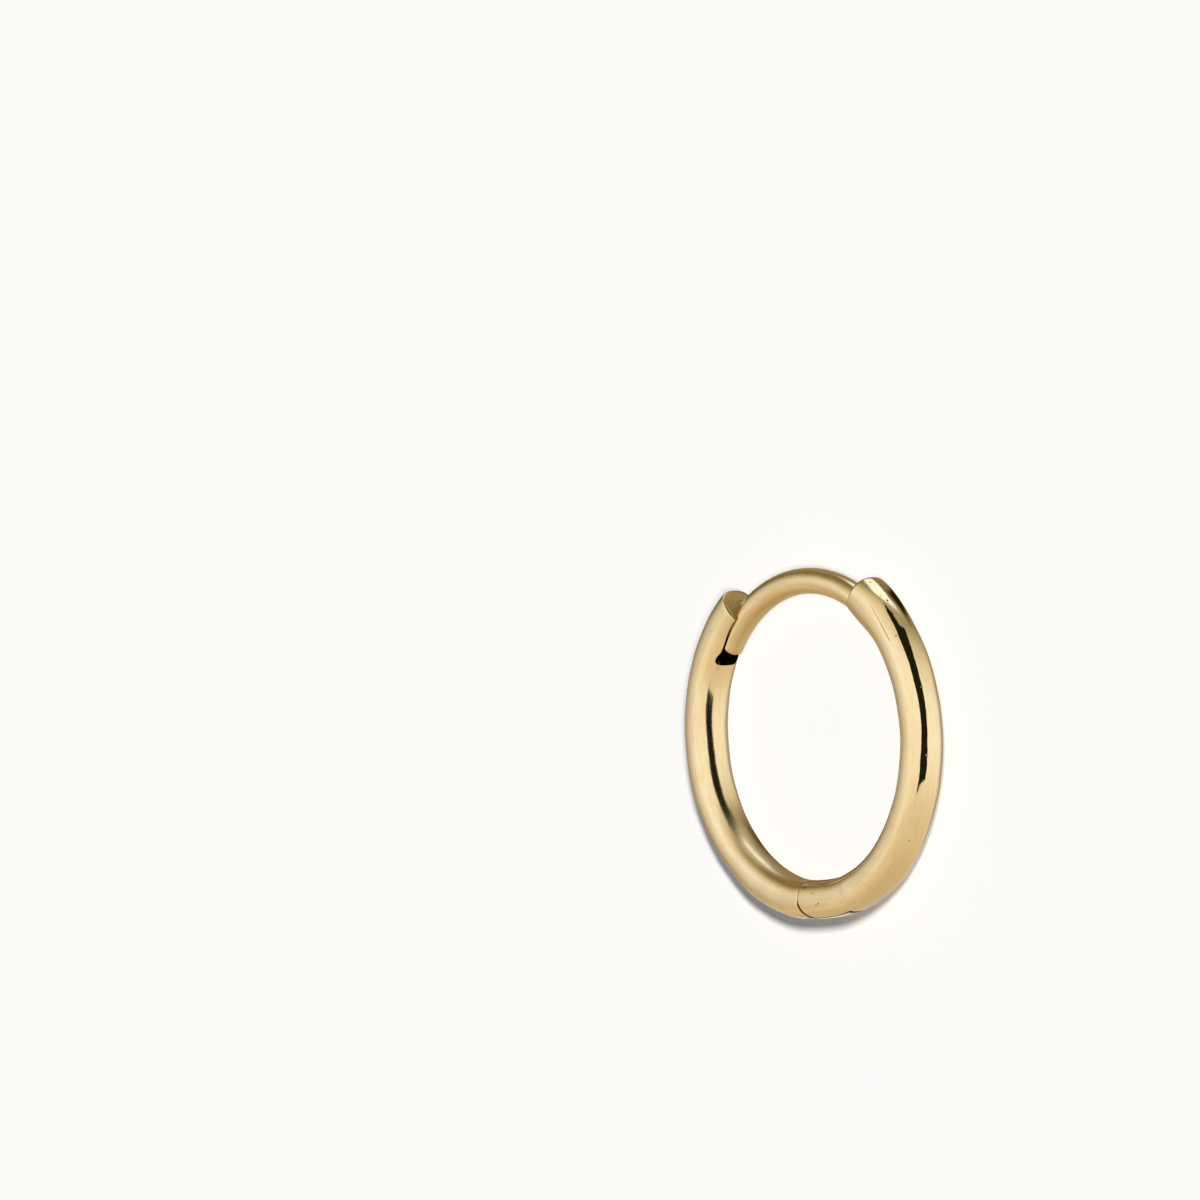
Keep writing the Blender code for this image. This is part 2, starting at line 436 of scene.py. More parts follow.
@dataclass(frozen=True)
class HoopPlan:
    """Sizes and places that the pieces share.

    Flat places are measured from the ring's centre, and angles about its axis from +X. The seam's relief
    is what its gap gains towards the hoop's outer side, over its ramp. The back end's slant is an angle
    for each metre outward from the tube's middle. The post's arc is shifted along +X from the centre.
    """

    centre: Vector
    diameter: float
    width: float
    pin: Vector
    thickness: float = 1.26 * MM
    squareness: float = 2.42
    front_end: float = math.radians(62.3)
    back_end: float = math.radians(132.3)
    seam_gap: float = 0.02 * MM
    seam_relief: float = 0.040 * MM
    seam_relief_ramp: float = 0.25 * MM
    tongue_reach: float = 1.36 * MM
    tongue_width: float = 0.55 * MM
    slot_width: float = 0.62 * MM
    slot_end_gap: float = 0.12 * MM
    bore_radius: float = 0.226 * MM
    back_end_slant: float = math.radians(-0.95) / MM
    post_arc_radius: float = 5.01 * MM
    post_arc_shift: float = 0.12 * MM
    unevenness: tuple[Unevenness, ...] = (
        Unevenness(math.radians(55), math.radians(15), -0.01 * MM, 0.19 * MM),
        Unevenness(math.radians(-84), math.radians(16), -0.055 * MM, 0.0),
        Unevenness(math.radians(-48), math.radians(22), 0.03 * MM, 0.0),
        Unevenness(math.radians(226), math.radians(24), -0.015 * MM, -0.06 * MM),
        Unevenness(math.radians(184), math.radians(40), -0.03 * MM, 0.0),
    )

    @classmethod
    def from_frame(cls) -> "HoopPlan":
        """Reads the ring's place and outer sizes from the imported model.

        Returns:
            The plan, with its centre, diameter, width and hinge taken from the frame.
        """
        back_low, back_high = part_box("back_half")
        front_low, front_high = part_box("front_half")
        diameter = front_high.x - back_low.x
        middle = Vector(((front_high.x + back_low.x) / 2, back_low.y + diameter / 2,
                         (back_low.z + back_high.z) / 2))
        hinge = Vector(frame["joints"][0]["pos_m"])
        return cls(middle, diameter, back_high.z - back_low.z, (hinge - middle).to_2d())

    @property
    def tube_radius(self) -> float:
        """Radius of the circle that the tube's middle follows."""
        return (self.diameter - self.thickness) / 2

    @property
    def pin_distance(self) -> float:
        """Distance from the ring's axis to the hinge's axis."""
        return self.pin.length

    @property
    def pin_bearing(self) -> float:
        """Angle of the hinge pin about the ring's axis."""
        return math.atan2(self.pin.y, self.pin.x)

    def strayed(self, bearing: float, across: float) -> float:
        """Gives a place's distance from the ring's axis, with the tube's unevenness.

        Args:
            bearing: Radians about the ring's axis, from +X.
            across: The place's distance outward from the middle of the tube.

        Returns:
            The distance.
        """
        reach = self.tube_radius + across
        for odd in self.unevenness:
            off = abs((bearing - odd.angle + math.pi) % FULL_TURN - math.pi)
            near = min(1.0, off / odd.reach)
            share = 1 - near * near * (3 - 2 * near)
            reach += share * (odd.outward + across * odd.thicker / self.thickness)
        return reach

    def half_height(self, across: float) -> float:
        """Gives the tube's height above its middle plane at a distance from its middle."""
        share = min(1.0, abs(2 * across / self.thickness))
        return self.width / 2 * (1 - share ** self.squareness) ** (1 / self.squareness)

    def on_tube(self, bearing: float, around: float) -> Vector:
        """Places a point on the tube's surface.

        Args:
            bearing: Degrees about the ring's axis, from +X.
            around: Degrees round the section, from the hoop's outer side over its upper side.

        Returns:
            The point.
        """
        power = 2 / self.squareness
        along, over = math.cos(math.radians(around)), math.sin(math.radians(around))
        across = self.thickness / 2 * math.copysign(abs(along) ** power, along)
        height = self.width / 2 * math.copysign(abs(over) ** power, over)
        turn = math.radians(bearing)
        reach = self.strayed(turn, across)
        return self.in_world(reach * math.cos(turn), reach * math.sin(turn), height)

    def in_world(self, x: float, y: float, z: float = 0.0) -> Vector:
        """Places a point that is measured from the ring's centre."""
        return self.centre + Vector((x, y, z))


@dataclass(frozen=True)
class Section:
    """The tube's rounded-square section as a flat mesh of cells, split where parts are cut away.

    The lips are the heights of the cuts' edges, and the floor is how far outward the channel reaches.
    """

    plan: HoopPlan
    lips: tuple[float, ...]
    floor: float = 0.0
    quarter_rows: int = 26
    fewest_rows: int = 2
    inner_columns: int = 9
    outer_columns: int = 9

    def row_angles(self) -> list[float]:
        """Works out the rows from the middle plane to the top, with a row at each lip.

        Returns:
            Angles on the section's outline, from 0 to a quarter turn.
        """
        power = self.plan.squareness / 2
        lip_angles = [math.asin((2 * lip / self.plan.width) ** power) for lip in self.lips]
        limits = [0.0, *lip_angles, QUARTER_TURN]
        angles: list[float] = []
        for low, high in zip(limits, limits[1:]):
            steps = max(self.fewest_rows, round(self.quarter_rows * (high - low) / QUARTER_TURN))
            angles += [low + (high - low) * step / steps for step in range(steps)]
        return angles + [QUARTER_TURN]

    def row(self, angle: float, side: int) -> list[Vector]:
        """Places one row of corners across the tube.

        Args:
            angle: The row's angle on the outline.
            side: 1 above the middle plane, -1 below it.

        Returns:
            Corners from the hoop's inner side to its outer side, as distance across and height.
        """
        power = 2 / self.plan.squareness
        half = self.plan.thickness / 2 * max(0.0, math.cos(angle)) ** power
        height = side * self.plan.width / 2 * math.sin(angle) ** power
        lip_half = self.half_at(self.lips[-1])
        split = self.floor * min(1.0, half / lip_half)
        inner = [-half + (split + half) * i / self.inner_columns for i in range(self.inner_columns)]
        outer = [split + (half - split) * i / self.outer_columns
                 for i in range(self.outer_columns + 1)]
        return [Vector((across, 0.0, height)) for across in inner + outer]

    def half_at(self, height: float) -> float:
        """Gives half the tube's thickness at a height above its middle plane."""
        share = (2 * height / self.plan.width) ** self.plan.squareness
        return self.plan.thickness / 2 * (1 - share) ** (1 / self.plan.squareness)

    def mesh(self, name: str, stretches: Sequence[Callable[[float, float], bool]]) -> bpy.types.Mesh:
        """Makes the flat section, marking which of its cells each stretch of the tube has.

        Args:
            name: The mesh's name.
            stretches: For each stretch, a test of a cell's place, as distance across and height.

        Returns:
            The mesh, in the XZ plane, with one face attribute for each stretch.
        """
        angles = self.row_angles()
        rows = [self.row(angle, -1) for angle in reversed(angles[1:])]
        rows += [self.row(angle, 1) for angle in angles]
        bm = bmesh.new()
        corners = [[bm.verts.new(place) for place in row] for row in rows]
        for lower, upper in zip(corners, corners[1:]):
            for i in range(len(lower) - 1):
                bm.faces.new((lower[i], lower[i + 1], upper[i + 1], upper[i]))
        bmesh.ops.remove_doubles(bm, verts=bm.verts, dist=MERGE)
        mesh = kept_mesh(name, bm)
        for index, belongs in enumerate(stretches):
            marks = [belongs(face.center.x, face.center.z) for face in mesh.polygons]
            attribute = mesh.attributes.new(f"stretch_{index}", "BOOLEAN", "FACE")
            attribute.data.foreach_set("value", marks)
        return mesh


class Side(Enum):
    """Which side of the hinge pin a cut lies on."""

    BEFORE_PIN = -1
    PAST_PIN = 1


@dataclass(frozen=True)
class RadialCut:
    """A flat cut that runs out from the ring's axis, or a little aslant."""

    angle: float
    slant: float = 0.0
    middle: float = 0.0

    def bearing(self, reach: Wire) -> Value:
        """Gives the cut's angle about the ring's axis at a distance from it."""
        return self.angle + (reach - self.middle) * self.slant if self.slant else self.angle


@dataclass(frozen=True)
class PinCut:
    """A cut along an arc about the hinge pin. Before the pin it runs on straight to the inner side."""

    plan: HoopPlan
    radius: float
    side: Side
    turns: int = 0
    relief: float = 0.0

    def plain_bearing(self, reach: float) -> float:
        """Works out the cut's angle on its arc, without its relief.

        Args:
            reach: The distance from the ring's axis.

        Returns:
            The angle about the ring's axis.
        """
        distance = self.plan.pin_distance
        swing = math.acos((reach ** 2 + distance ** 2 - self.radius ** 2) / (2 * distance * reach))
        return self.plan.pin_bearing + self.side.value * swing + self.turns * FULL_TURN

    def bearing(self, reach: Wire) -> Value:
        """Writes the cut's angle about the ring's axis as nodes.

        Args:
            reach: The distance from the ring's axis.

        Returns:
            The angle.
        """
        plan = self.plan
        pin_distance = plan.pin_distance
        straight_x = plan.pin.x - self.radius
        corner = math.hypot(straight_x, plan.pin.y)
        radius = self.radius + self.relief * reach.rise(corner, corner + plan.seam_relief_ramp)
        squares = reach * reach + pin_distance ** 2 - radius * radius
        swing = (squares / (2 * pin_distance * reach)).function("ARCCOSINE")
        turned = self.turns * FULL_TURN
        on_arc = swing * self.side.value + (plan.pin_bearing + turned)
        if self.side is Side.PAST_PIN:
            return on_arc
        straight = (straight_x / reach).function("ARCSINE") - (QUARTER_TURN - turned)
        return straight + (on_arc - straight) * (reach > corner)


@dataclass(frozen=True)
class Rim:
    """The rounding of the tube's first end, which may be larger on the hoop's outer side."""

    outer: float
    inner: float
    stations: int = 14


@dataclass(frozen=True)
class Channel:
    """The back half's channel for the post. Its walls draw together towards an end with round corners.

    The pinch narrows it further beside the post's tip. Where the pinch grows and ends is given as shares
    of the channel's length. Settled is the share of the next stretch in which the section evens out.
    """

    start: float
    end: float = math.radians(154.9)
    wall: float = 0.485 * MM
    floor: float = 0.22 * MM
    taper: float = 0.015 * MM
    corner: float = 0.15 * MM
    settled: float = 0.12
    pinch: float = 0.085 * MM
    pinch_grows: tuple[float, float] = (0.15, 0.70)
    pinch_ends: tuple[float, float] = (0.72, 0.90)

    def wall_at(self, stretch: int, way: Value, run: float) -> Optional[Value]:
        """Gives where the channel's wall is.

        Args:
            stretch: The number of the stretch, of which the first holds the channel.
            way: The share of the stretch that lies behind the place.
            run: The first stretch's length.

        Returns:
            The wall's height above the middle plane, or None where it is as in the flat section.
        """
        end = self.wall - self.taper - self.corner
        if stretch == 0:
            left = (1 - way) * (run / self.corner)
            depth = left.clamped() if isinstance(left, Wire) else min(1.0, left)
            wall = self.wall - way * self.taper - left_to_rise(depth) * self.corner
            if isinstance(way, Wire):
                pinched = way.rise(*self.pinch_grows) * (1 - way.rise(*self.pinch_ends))
                wall = wall - pinched * self.pinch
            return wall
        if stretch == 1 and isinstance(way, Wire):
            return end + way.rise(0.0, self.settled) * (self.wall - end)
        return None


@dataclass(frozen=True)
class RingSweep:
    """Sweeps a section round the ring in stretches, each between two cuts and with its own cells."""

    plan: HoopPlan
    name: str
    cuts: tuple[Union[RadialCut, PinCut], ...]
    stations: tuple[int, ...]
    rim: Rim
    channel: Optional[Channel] = None
    wave_length: float = 0.95 * MM
    wave_depth: float = 0.025 * MM
    still_near_pin: float = 0.45 * MM

    def tree(self) -> PieceTree:
        """Writes the sweep as Geometry Nodes.

        Returns:
            The tree, which starts from the flat section.
        """
        stations = {f"Stations {index}": count for index, count in enumerate(self.stations)}
        net = PieceTree(self.name, {
            "Tube radius": self.plan.tube_radius,
            "Centre": self.plan.centre,
            "Outer rounding": self.rim.outer,
            "Inner rounding": self.rim.inner,
            "Merge distance": MERGE,
            "Wave length": self.wave_length,
            "Wave depth": self.wave_depth,
            **stations,
        })
        place = net.node("GeometryNodeInputPosition")
        flat = net.node("GeometryNodeStoreNamedAttribute",
                        {"data_type": "FLOAT_VECTOR", "domain": "POINT"},
                        {"Geometry": net.given["Base"], "Name": "section", "Value": place})
        parts = [self.skin(net, flat, index) for index in range(len(self.stations))]
        parts += [self.cap(net, flat, index) for index in range(len(self.cuts))]
        joined = net.node("GeometryNodeJoinGeometry", {}, {0: parts})
        merged = net.node("GeometryNodeMergeByDistance", {},
                          {"Geometry": joined, "Distance": net.given["Merge distance"]})
        net.finish(self.waved(net, merged))
        return net

    def waved(self, net: PieceTree, geometry: Wire) -> Wire:
        """Gives the metal the faint waves of hand polishing.

        Args:
            net: The tree to write in.
            geometry: The even tube.

        Returns:
            The waved tube, which stays even where the pin's end lies flush.
        """
        place = net.node("GeometryNodeInputPosition")
        swell = net.node("ShaderNodeTexNoise", {},
                         {"Vector": place, "Scale": 1 / net.given["Wave length"], "Detail": 0.0})
        pin = self.plan.in_world(self.plan.pin.x, self.plan.pin.y)
        off_pin = (place * (1.0, 1.0, 0.0)).distance((pin.x, pin.y, 0.0))
        depth = net.given["Wave depth"] * off_pin.rise(self.still_near_pin, 2 * self.still_near_pin)
        normal = net.node("GeometryNodeInputNormal")
        return net.node("GeometryNodeSetPosition", {},
                        {"Geometry": geometry, "Offset": normal * ((swell - 0.5) * depth)})

    def skin(self, net: PieceTree, flat: Wire, index: int) -> Wire:
        """Sweeps the outline of one stretch's cells from cut to cut.

        Args:
            net: The tree to write in.
            flat: The flat section.
            index: The stretch's number.

        Returns:
            The stretch's skin, in its place on the ring.
        """
        cells = self.cells(net, flat, self.has_cell(net, index))
        border = net.node("GeometryNodeInputMeshEdgeNeighbors") < BELOW_TWO_FACES
        outline = net.node("GeometryNodeMeshToCurve", {}, {"Mesh": cells, "Selection": border})
        line = net.node("GeometryNodeCurvePrimitiveLine", {}, {"End": (1.0, 0.0, 0.0)})
        path = net.node("GeometryNodeResampleCurve", {},
                        {"Curve": line, "Count": net.given[f"Stations {index}"]})
        way = net.node("GeometryNodeSplineParameter")
        if index == 0:
            way = self.crowded(net, way)
        marked = net.node("GeometryNodeStoreNamedAttribute", {"data_type": "FLOAT", "domain": "POINT"},
                          {"Geometry": path, "Name": "way", "Value": way})
        tube = net.node("GeometryNodeCurveToMesh", {}, {"Curve": marked, "Profile Curve": outline})
        way_on_tube = net.node("GeometryNodeInputNamedAttribute", {"data_type": "FLOAT"},
                               {"Name": "way"})
        reach, place = self.section_place(net)
        start = self.cuts[index].bearing(reach)
        end = self.cuts[index + 1].bearing(reach)
        bearing = start * (1 - way_on_tube) + end * way_on_tube
        return self.placed(net, tube, bearing, place, index, way_on_tube)

    def crowded(self, net: PieceTree, way: Wire) -> Wire:
        """Crowds the first stations into the end's rounding, closest where it turns fastest.

        Args:
            net: The tree to write in.
            way: The stations' even places, from 0 to 1.

        Returns:
            Their crowded places, from 0 to 1.
        """
        share = self.rim.stations / self.stations[0]
        lead = net.given["Outer rounding"] / self.first_run
        rounded = lead * (1 - (way * (QUARTER_TURN / share)).function("COSINE"))
        plain = lead + (1 - lead) * (way - share) / (1 - share)
        return rounded + (plain - rounded) * (way > share)

    @property
    def first_run(self) -> float:
        """Works out the first stretch's length.

        Returns:
            The length along the middle of the tube.
        """
        first, second = self.cuts[:2]
        if isinstance(second, RadialCut):
            end = second.angle
        else:
            end = second.plain_bearing(self.plan.tube_radius)
        return abs(end - first.angle) * self.plan.tube_radius

    def cap(self, net: PieceTree, flat: Wire, index: int) -> Wire:
        """Closes one cut with the cells that only one of its two stretches has.

        Args:
            net: The tree to write in.
            flat: The flat section.
            index: The cut's number.

        Returns:
            The cap, in its place on the ring.
        """
        sides = [self.has_cell(net, side) for side in (index - 1, index)
                 if 0 <= side < len(self.stations)]
        if len(sides) == 2:
            differs = (sides[0] - sides[1]).function("ABSOLUTE")
        else:
            differs = sides[0]
        cells = self.cells(net, flat, differs)
        reach, place = self.section_place(net)
        bearing = self.cuts[index].bearing(reach)
        return self.placed(net, cells, bearing, place, max(0, index - 1), min(1, index))

    @staticmethod
    def has_cell(net: Net, index: int) -> Wire:
        """Reads whether a cell belongs to a stretch.

        Args:
            net: The tree to write in.
            index: The stretch's number.

        Returns:
            1 for a cell that does, 0 for one that doesn't.
        """
        mark = net.node("GeometryNodeInputNamedAttribute", {"data_type": "BOOLEAN"},
                        {"Name": f"stretch_{index}"})
        return mark * 1.0

    @staticmethod
    def cells(net: Net, flat: Wire, chosen: Wire) -> Wire:
        """Keeps only the chosen cells of the section."""
        return net.node("GeometryNodeSeparateGeometry", {"domain": "FACE"},
                        {"Geometry": flat, "Selection": chosen > 0.5}, "Selection")

    @staticmethod
    def section_place(net: PieceTree) -> tuple[Wire, Wire]:
        """Reads a point's place on the section.

        Args:
            net: The tree to write in.

        Returns:
            Its distance from the ring's axis, and its place as distance across and height.
        """
        place = net.node("GeometryNodeInputNamedAttribute", {"data_type": "FLOAT_VECTOR"},
                         {"Name": "section"})
        return place.parts()[0] + net.given["Tube radius"], place

    def placed(self, net: PieceTree, geometry: Wire, bearing: Value, place: Wire, stretch: int,
               way: Value) -> Wire:
        """Moves swept points to their places on the ring.

        Args:
            net: The tree to write in.
            geometry: The points.
            bearing: Each point's angle about the ring's axis.
            place: Each point's place on the section.
            stretch: The number of the stretch that the points belong to.
            way: The share of the stretch that lies behind each point.

        Returns:
            The moved geometry.
        """
        across, _, height = place.parts()
        wall = self.channel.wall_at(stretch, way, self.first_run) if self.channel else None
        if wall is not None:
            across, height = self.narrowed(across, height, wall)
        if stretch == 0:
            half = self.plan.thickness / 2
            outward = across.rise(-half / 2, half)
            inner, outer = net.given["Inner rounding"], net.given["Outer rounding"]
            rounding = inner + (outer - inner) * outward
            depth = (way * self.first_run / rounding).clamped()
            inset = rounding * left_to_rise(depth) / half
            across = across * (1 - inset)
            height = height * (1 - inset)
        angle = net.number(bearing)
        turned = FULL_TURN if self.cuts[0].angle > QUARTER_TURN else 0.0
        radius = net.given["Tube radius"] + across
        for odd in self.plan.unevenness:
            middle = odd.angle + (turned if odd.angle < 0 else 0.0)
            share = 1 - (angle - middle).function("ABSOLUTE").rise(0.0, odd.reach)
            radius = radius + share * (odd.outward + across * (odd.thicker / self.plan.thickness))
        x, y = (radius * angle.function(kind) for kind in ("COSINE", "SINE"))
        position = net.vector(x, y, height) + net.given["Centre"]
        return net.node("GeometryNodeSetPosition", {}, {"Geometry": geometry, "Position": position})

    def narrowed(self, across: Wire, height: Wire, wall: Value) -> tuple[Wire, Wire]:
        """Shifts a point along the section's outline, as the channel's wall draws in.

        Args:
            across: The point's distance outward from the middle of the tube.
            height: Its height above the middle plane.
            wall: The channel wall's height there.

        Returns:
            The distance and the height after the shift.
        """
        flat_wall = self.channel.wall
        top = self.plan.width / 2
        size = height.function("ABSOLUTE")
        below = size * wall / flat_wall
        above = wall + (size - flat_wall) * (top - wall) / (top - flat_wall)
        shifted = below + (above - below) * (size > flat_wall)
        spread = self.half_at(shifted) / self.half_at(size)
        return across * spread, shifted * height.function("SIGN")

    def half_at(self, height: Wire) -> Wire:
        """Gives the section's breadth at a height above the middle plane.

        Args:
            height: The height.

        Returns:
            The breadth as a share of the tube's thickness, never quite 0.
        """
        power = self.plan.squareness
        left = 1 - (height * (2 / self.plan.width)).clamped(0.0, NEARLY_ALL) ** power
        return left ** (1 / power)


# Mesh steps

def linked(name: str, data: bpy.types.ID) -> bpy.types.Object:
    """Makes an object and adds it to the scene.

    Args:
        name: The object's name.
        data: Its mesh, camera or light.

    Returns:
        The object.
    """
    made = bpy.data.objects.new(name, data)
    bpy.context.scene.collection.objects.link(made)
    return made


def kept_mesh(name: str, bm: bmesh.types.BMesh) -> bpy.types.Mesh:
    """Turns a mesh under edit into a kept one.

    Args:
        name: The kept mesh's name.
        bm: The mesh under edit, which is let go.

    Returns:
        The kept mesh.
    """
    mesh = bpy.data.meshes.new(name)
    bm.to_mesh(mesh)
    bm.free()
    return mesh


def settle(piece: bpy.types.Object) -> bpy.types.Object:
    """Replaces a piece's mesh by its evaluated one and removes its modifiers.

    Args:
        piece: The piece.

    Returns:
        The same piece.
    """
    bpy.context.view_layer.update()
    evaluated = piece.evaluated_get(bpy.context.evaluated_depsgraph_get())
    mesh = bpy.data.meshes.new_from_object(evaluated)
    piece.modifiers.clear()
    piece.data = mesh
    return piece


def ease_edges(piece: bpy.types.Object, width: float, steps: int) -> None:
    """Rounds a piece's sharp outward edges.

    Args:
        piece: The piece, a closed mesh.
        width: How far back from the edge the rounding starts.
        steps: The number of facets in the rounding.
    """
    bm = bmesh.new()
    bm.from_mesh(piece.data)
    bmesh.ops.recalc_face_normals(bm, faces=bm.faces)
    edges = [edge for edge in bm.edges
             if len(edge.link_faces) == 2 and edge.is_convex and edge.calc_face_angle() > SHARP_EDGE]
    bmesh.ops.bevel(bm, geom=edges, offset=width, segments=steps, profile=0.5, affect="EDGES",
                    clamp_overlap=True)
    bm.to_mesh(piece.data)
    bm.free()


def bore(piece: bpy.types.Object, plan: HoopPlan, sides: int = 64) -> None:
    """Drills the pin's hole through a piece.

    Args:
        piece: The piece.
        plan: The ring's plan.
        sides: The number of facets round the hole.
    """
    bm = bmesh.new()
    place = Matrix.Translation(plan.in_world(plan.pin.x, plan.pin.y))
    bmesh.ops.create_cone(bm, cap_ends=True, segments=sides, radius1=plan.bore_radius,
                          radius2=plan.bore_radius, depth=2 * plan.width, matrix=place)
    drill = linked("drill", kept_mesh("drill", bm))
    step = piece.modifiers.new("bore", "BOOLEAN")
    step.operation = "DIFFERENCE"
    step.solver = "EXACT"
    step.object = drill
    settle(piece)
    bpy.data.objects.remove(drill, do_unlink=True)


def polish_shading(piece: bpy.types.Object, sharp: float = math.radians(38)) -> None:
    """Shades a piece smooth, and keeps its real edges crisp."""
    piece.data.shade_smooth()
    piece.data.set_sharp_from_angle(angle=sharp)


# Finishes

@dataclass(frozen=True)
class Pit:
    """A small hole in the polish."""

    bearing: float
    around: float
    radius: float
    darkness: float


@dataclass(frozen=True)
class Scratch:
    """A fine line in the polish, from one place on the tube to another."""

    bearings: tuple[float, float]
    arounds: tuple[float, float]
    half_width: float
    darkness: float


@dataclass(frozen=True)
class PolishedGold:
    """Polished yellow gold, faintly wavy, with pits and scratches, and shade painted into the hinge's
    seam and slot.

    A pair of numbers gives the two values between which an effect fades in. The edges of pits and of
    scratches are shares of their half width, the inner side's start is in shares of half the tube's
    thickness, and the shade depths are squares of shares of the way from the tube's middle to its skin.
    """

    name: str
    plan: HoopPlan
    roughness: float = 0.05
    roughness_limits: tuple[float, float] = (0.02, 0.9)
    pits: tuple[Pit, ...] = ()
    pit_edge: tuple[float, float] = (0.5, 1.3)
    scratches: tuple[Scratch, ...] = ()
    scratch_edge: tuple[float, float] = (0.4, 1.5)
    flaw_share: float = 0.92
    flaw_roughness: float = 0.3
    flaw_depth: float = 0.004 * MM
    noise_detail: float = 2.0
    colour: Colour = (0.92, 0.715, 0.41)
    redder: Colour = (0.89, 0.66, 0.34)
    redder_from: tuple[float, float] = (0.35, 0.7)
    redder_share: float = 0.6
    redder_length: float = 1.6 * MM
    # Near-black of the pits and scratches, and of the shade painted into seam, slot, channel, cut end
    # and joint, which is also made rougher.
    flaw_and_shade_colour: Colour = (0.03, 0.016, 0.005)
    shade_roughness: float = 0.45
    ripple_length: float = 0.28 * MM
    ripple_depth: float = 0.0018 * MM
    ochre: Colour = (0.84, 0.61, 0.29)
    streak_from: tuple[float, float] = (0.45, 0.75)
    streak_share: float = 0.8
    streak_length: float = 0.5 * MM
    streak_width: float = 0.06 * MM
    streak_depth: float = 0.0013 * MM
    grain_length: float = 0.02 * MM
    grain_roughness: float = 0.02
    # The hinge's seam walls get painted shade, faint near the pin's height and strong further below it.
    seam_width: float = 0.020 * MM
    seam_softness: float = 0.3
    seam_shade: tuple[float, float] = (0.12, 0.85)
    seam_darkens: float = 0.05 * MM
    # The hinge's slot walls and end get painted shade.
    slot_edge: float = 0.04 * MM
    slot_margin: float = 0.01 * MM
    slot_shade: float = 0.95
    # The painted shade is full near the tube's skin and keeps this share deeper in.
    skin_shade_depths: tuple[float, float] = (0.5, 0.8)
    deep_shade_share: float = 0.60
    # The inner side gets a deeper tone painted in for reflection and shade, and may be duller.
    inner_from: tuple[float, float] = (0.42, 0.92)
    inner_shade_tint: float = 0.3
    inner_shade_colour: Colour = (0.61, 0.39, 0.13)
    inner_roughness: float = 0.0

    def material(self) -> bpy.types.Material:
        """Writes the finish.

        Returns:
            The material.
        """
        material = bpy.data.materials.new(self.name)
        material.use_nodes = True
        net = Net(material.node_tree)
        place = net.node("ShaderNodeTexCoord", output="Object")
        from_centre = place - tuple(self.plan.centre)
        broad = self.noise(place, self.redder_length)
        grain = self.noise(place, self.grain_length)
        streaks = self.streaks(from_centre)
        flaws = self.flaws(place)
        dark = self.painted_shade_places(from_centre)
        painted_tone_share, dulled = self.inner_side(from_centre)
        colour = net.blend(broad.rise(*self.redder_from) * self.redder_share, self.colour, self.redder)
        colour = net.blend(streaks.rise(*self.streak_from) * self.streak_share, colour, self.ochre)
        # Paints the deeper tone of reflection and shade onto the inner side.
        colour = net.blend(painted_tone_share * self.inner_shade_tint, colour, self.inner_shade_colour)
        colour = net.blend(flaws * self.flaw_share, colour, self.flaw_and_shade_colour)
        # Paints shade into the seam, slot and other dark places.
        colour = net.blend(dark, colour, self.flaw_and_shade_colour)
        roughness = self.roughness + (grain - 0.5) * self.grain_roughness + flaws * self.flaw_roughness
        roughness = roughness + dark * self.shade_roughness + dulled * self.inner_roughness
        ripple = self.noise(place, self.ripple_length) * self.ripple_depth
        height = ripple + streaks * self.streak_depth - flaws * self.flaw_depth
        normal = net.node("ShaderNodeBump", {}, {"Strength": 1.0, "Distance": 1.0, "Height": height})
        net.end_in("ShaderNodeBsdfPrincipled", "ShaderNodeOutputMaterial", {
            "Base Color": colour,
            "Metallic": 1.0,
            "Roughness": roughness.clamped(*self.roughness_limits),
            "Normal": normal,
        })
        return material

    def noise(self, place: Wire, length: float) -> Wire:
        """Gives an even noise, from 0 to 1, whose swells are about as long as is asked."""
        return place.net.node("ShaderNodeTexNoise", {},
                              {"Vector": place, "Scale": 1 / length, "Detail": self.noise_detail})

    def streaks(self, from_centre: Wire) -> Wire:
        """Draws the polishing's fine streaks, which follow the ring.

        Args:
            from_centre: Places, measured from the ring's centre.

        Returns:
            An even noise from 0 to 1.
        """
        x, y, z = from_centre.parts()
        net = from_centre.net
        drawn_out = net.vector(x / self.streak_length, y / self.streak_length, z / self.streak_width)
        return net.node("ShaderNodeTexNoise", {"noise_dimensions": "4D"},
                        {"Vector": drawn_out, "W": from_centre.from_axis() / self.streak_width,
                         "Scale": 1.0, "Detail": self.noise_detail})

    def flaws(self, place: Wire) -> Wire:
        """Draws the pits and scratches as one mask.

        Args:
            place: Places on the piece.

        Returns:
            How much of a flaw there is, from 0 to 1.
        """
        whole = place.net.number(0.0)
        start, end = self.pit_edge
        for pit in self.pits:
            distance = place.distance(self.plan.on_tube(pit.bearing, pit.around))
            spot = (1 - distance.rise(pit.radius * start, pit.radius * end)) * pit.darkness
            whole = whole.larger(spot)
        start, end = self.scratch_edge
        for scratch in self.scratches:
            tips = (self.plan.on_tube(*tip) for tip in zip(scratch.bearings, scratch.arounds))
            distance = place.from_line(*tips)
            faded = distance.rise(scratch.half_width * start, scratch.half_width * end)
            whole = whole.larger((1 - faded) * scratch.darkness)
        return whole

    def inner_side(self, from_centre: Wire) -> tuple[Wire, Wire]:
        """Tells the hoop's inner side, which has a deeper tone painted in for reflection and shade, from
        its outer side.

        Args:
            from_centre: Places, measured from the ring's centre.

        Returns:
            How much of the painted deeper tone a place has, and how much of the inner side's dullness.
        """
        inward = self.plan.tube_radius - from_centre.from_axis()
        start, end = (share * self.plan.thickness / 2 for share in self.inner_from)
        inner = inward.rise(start, end)
        return inner, inner

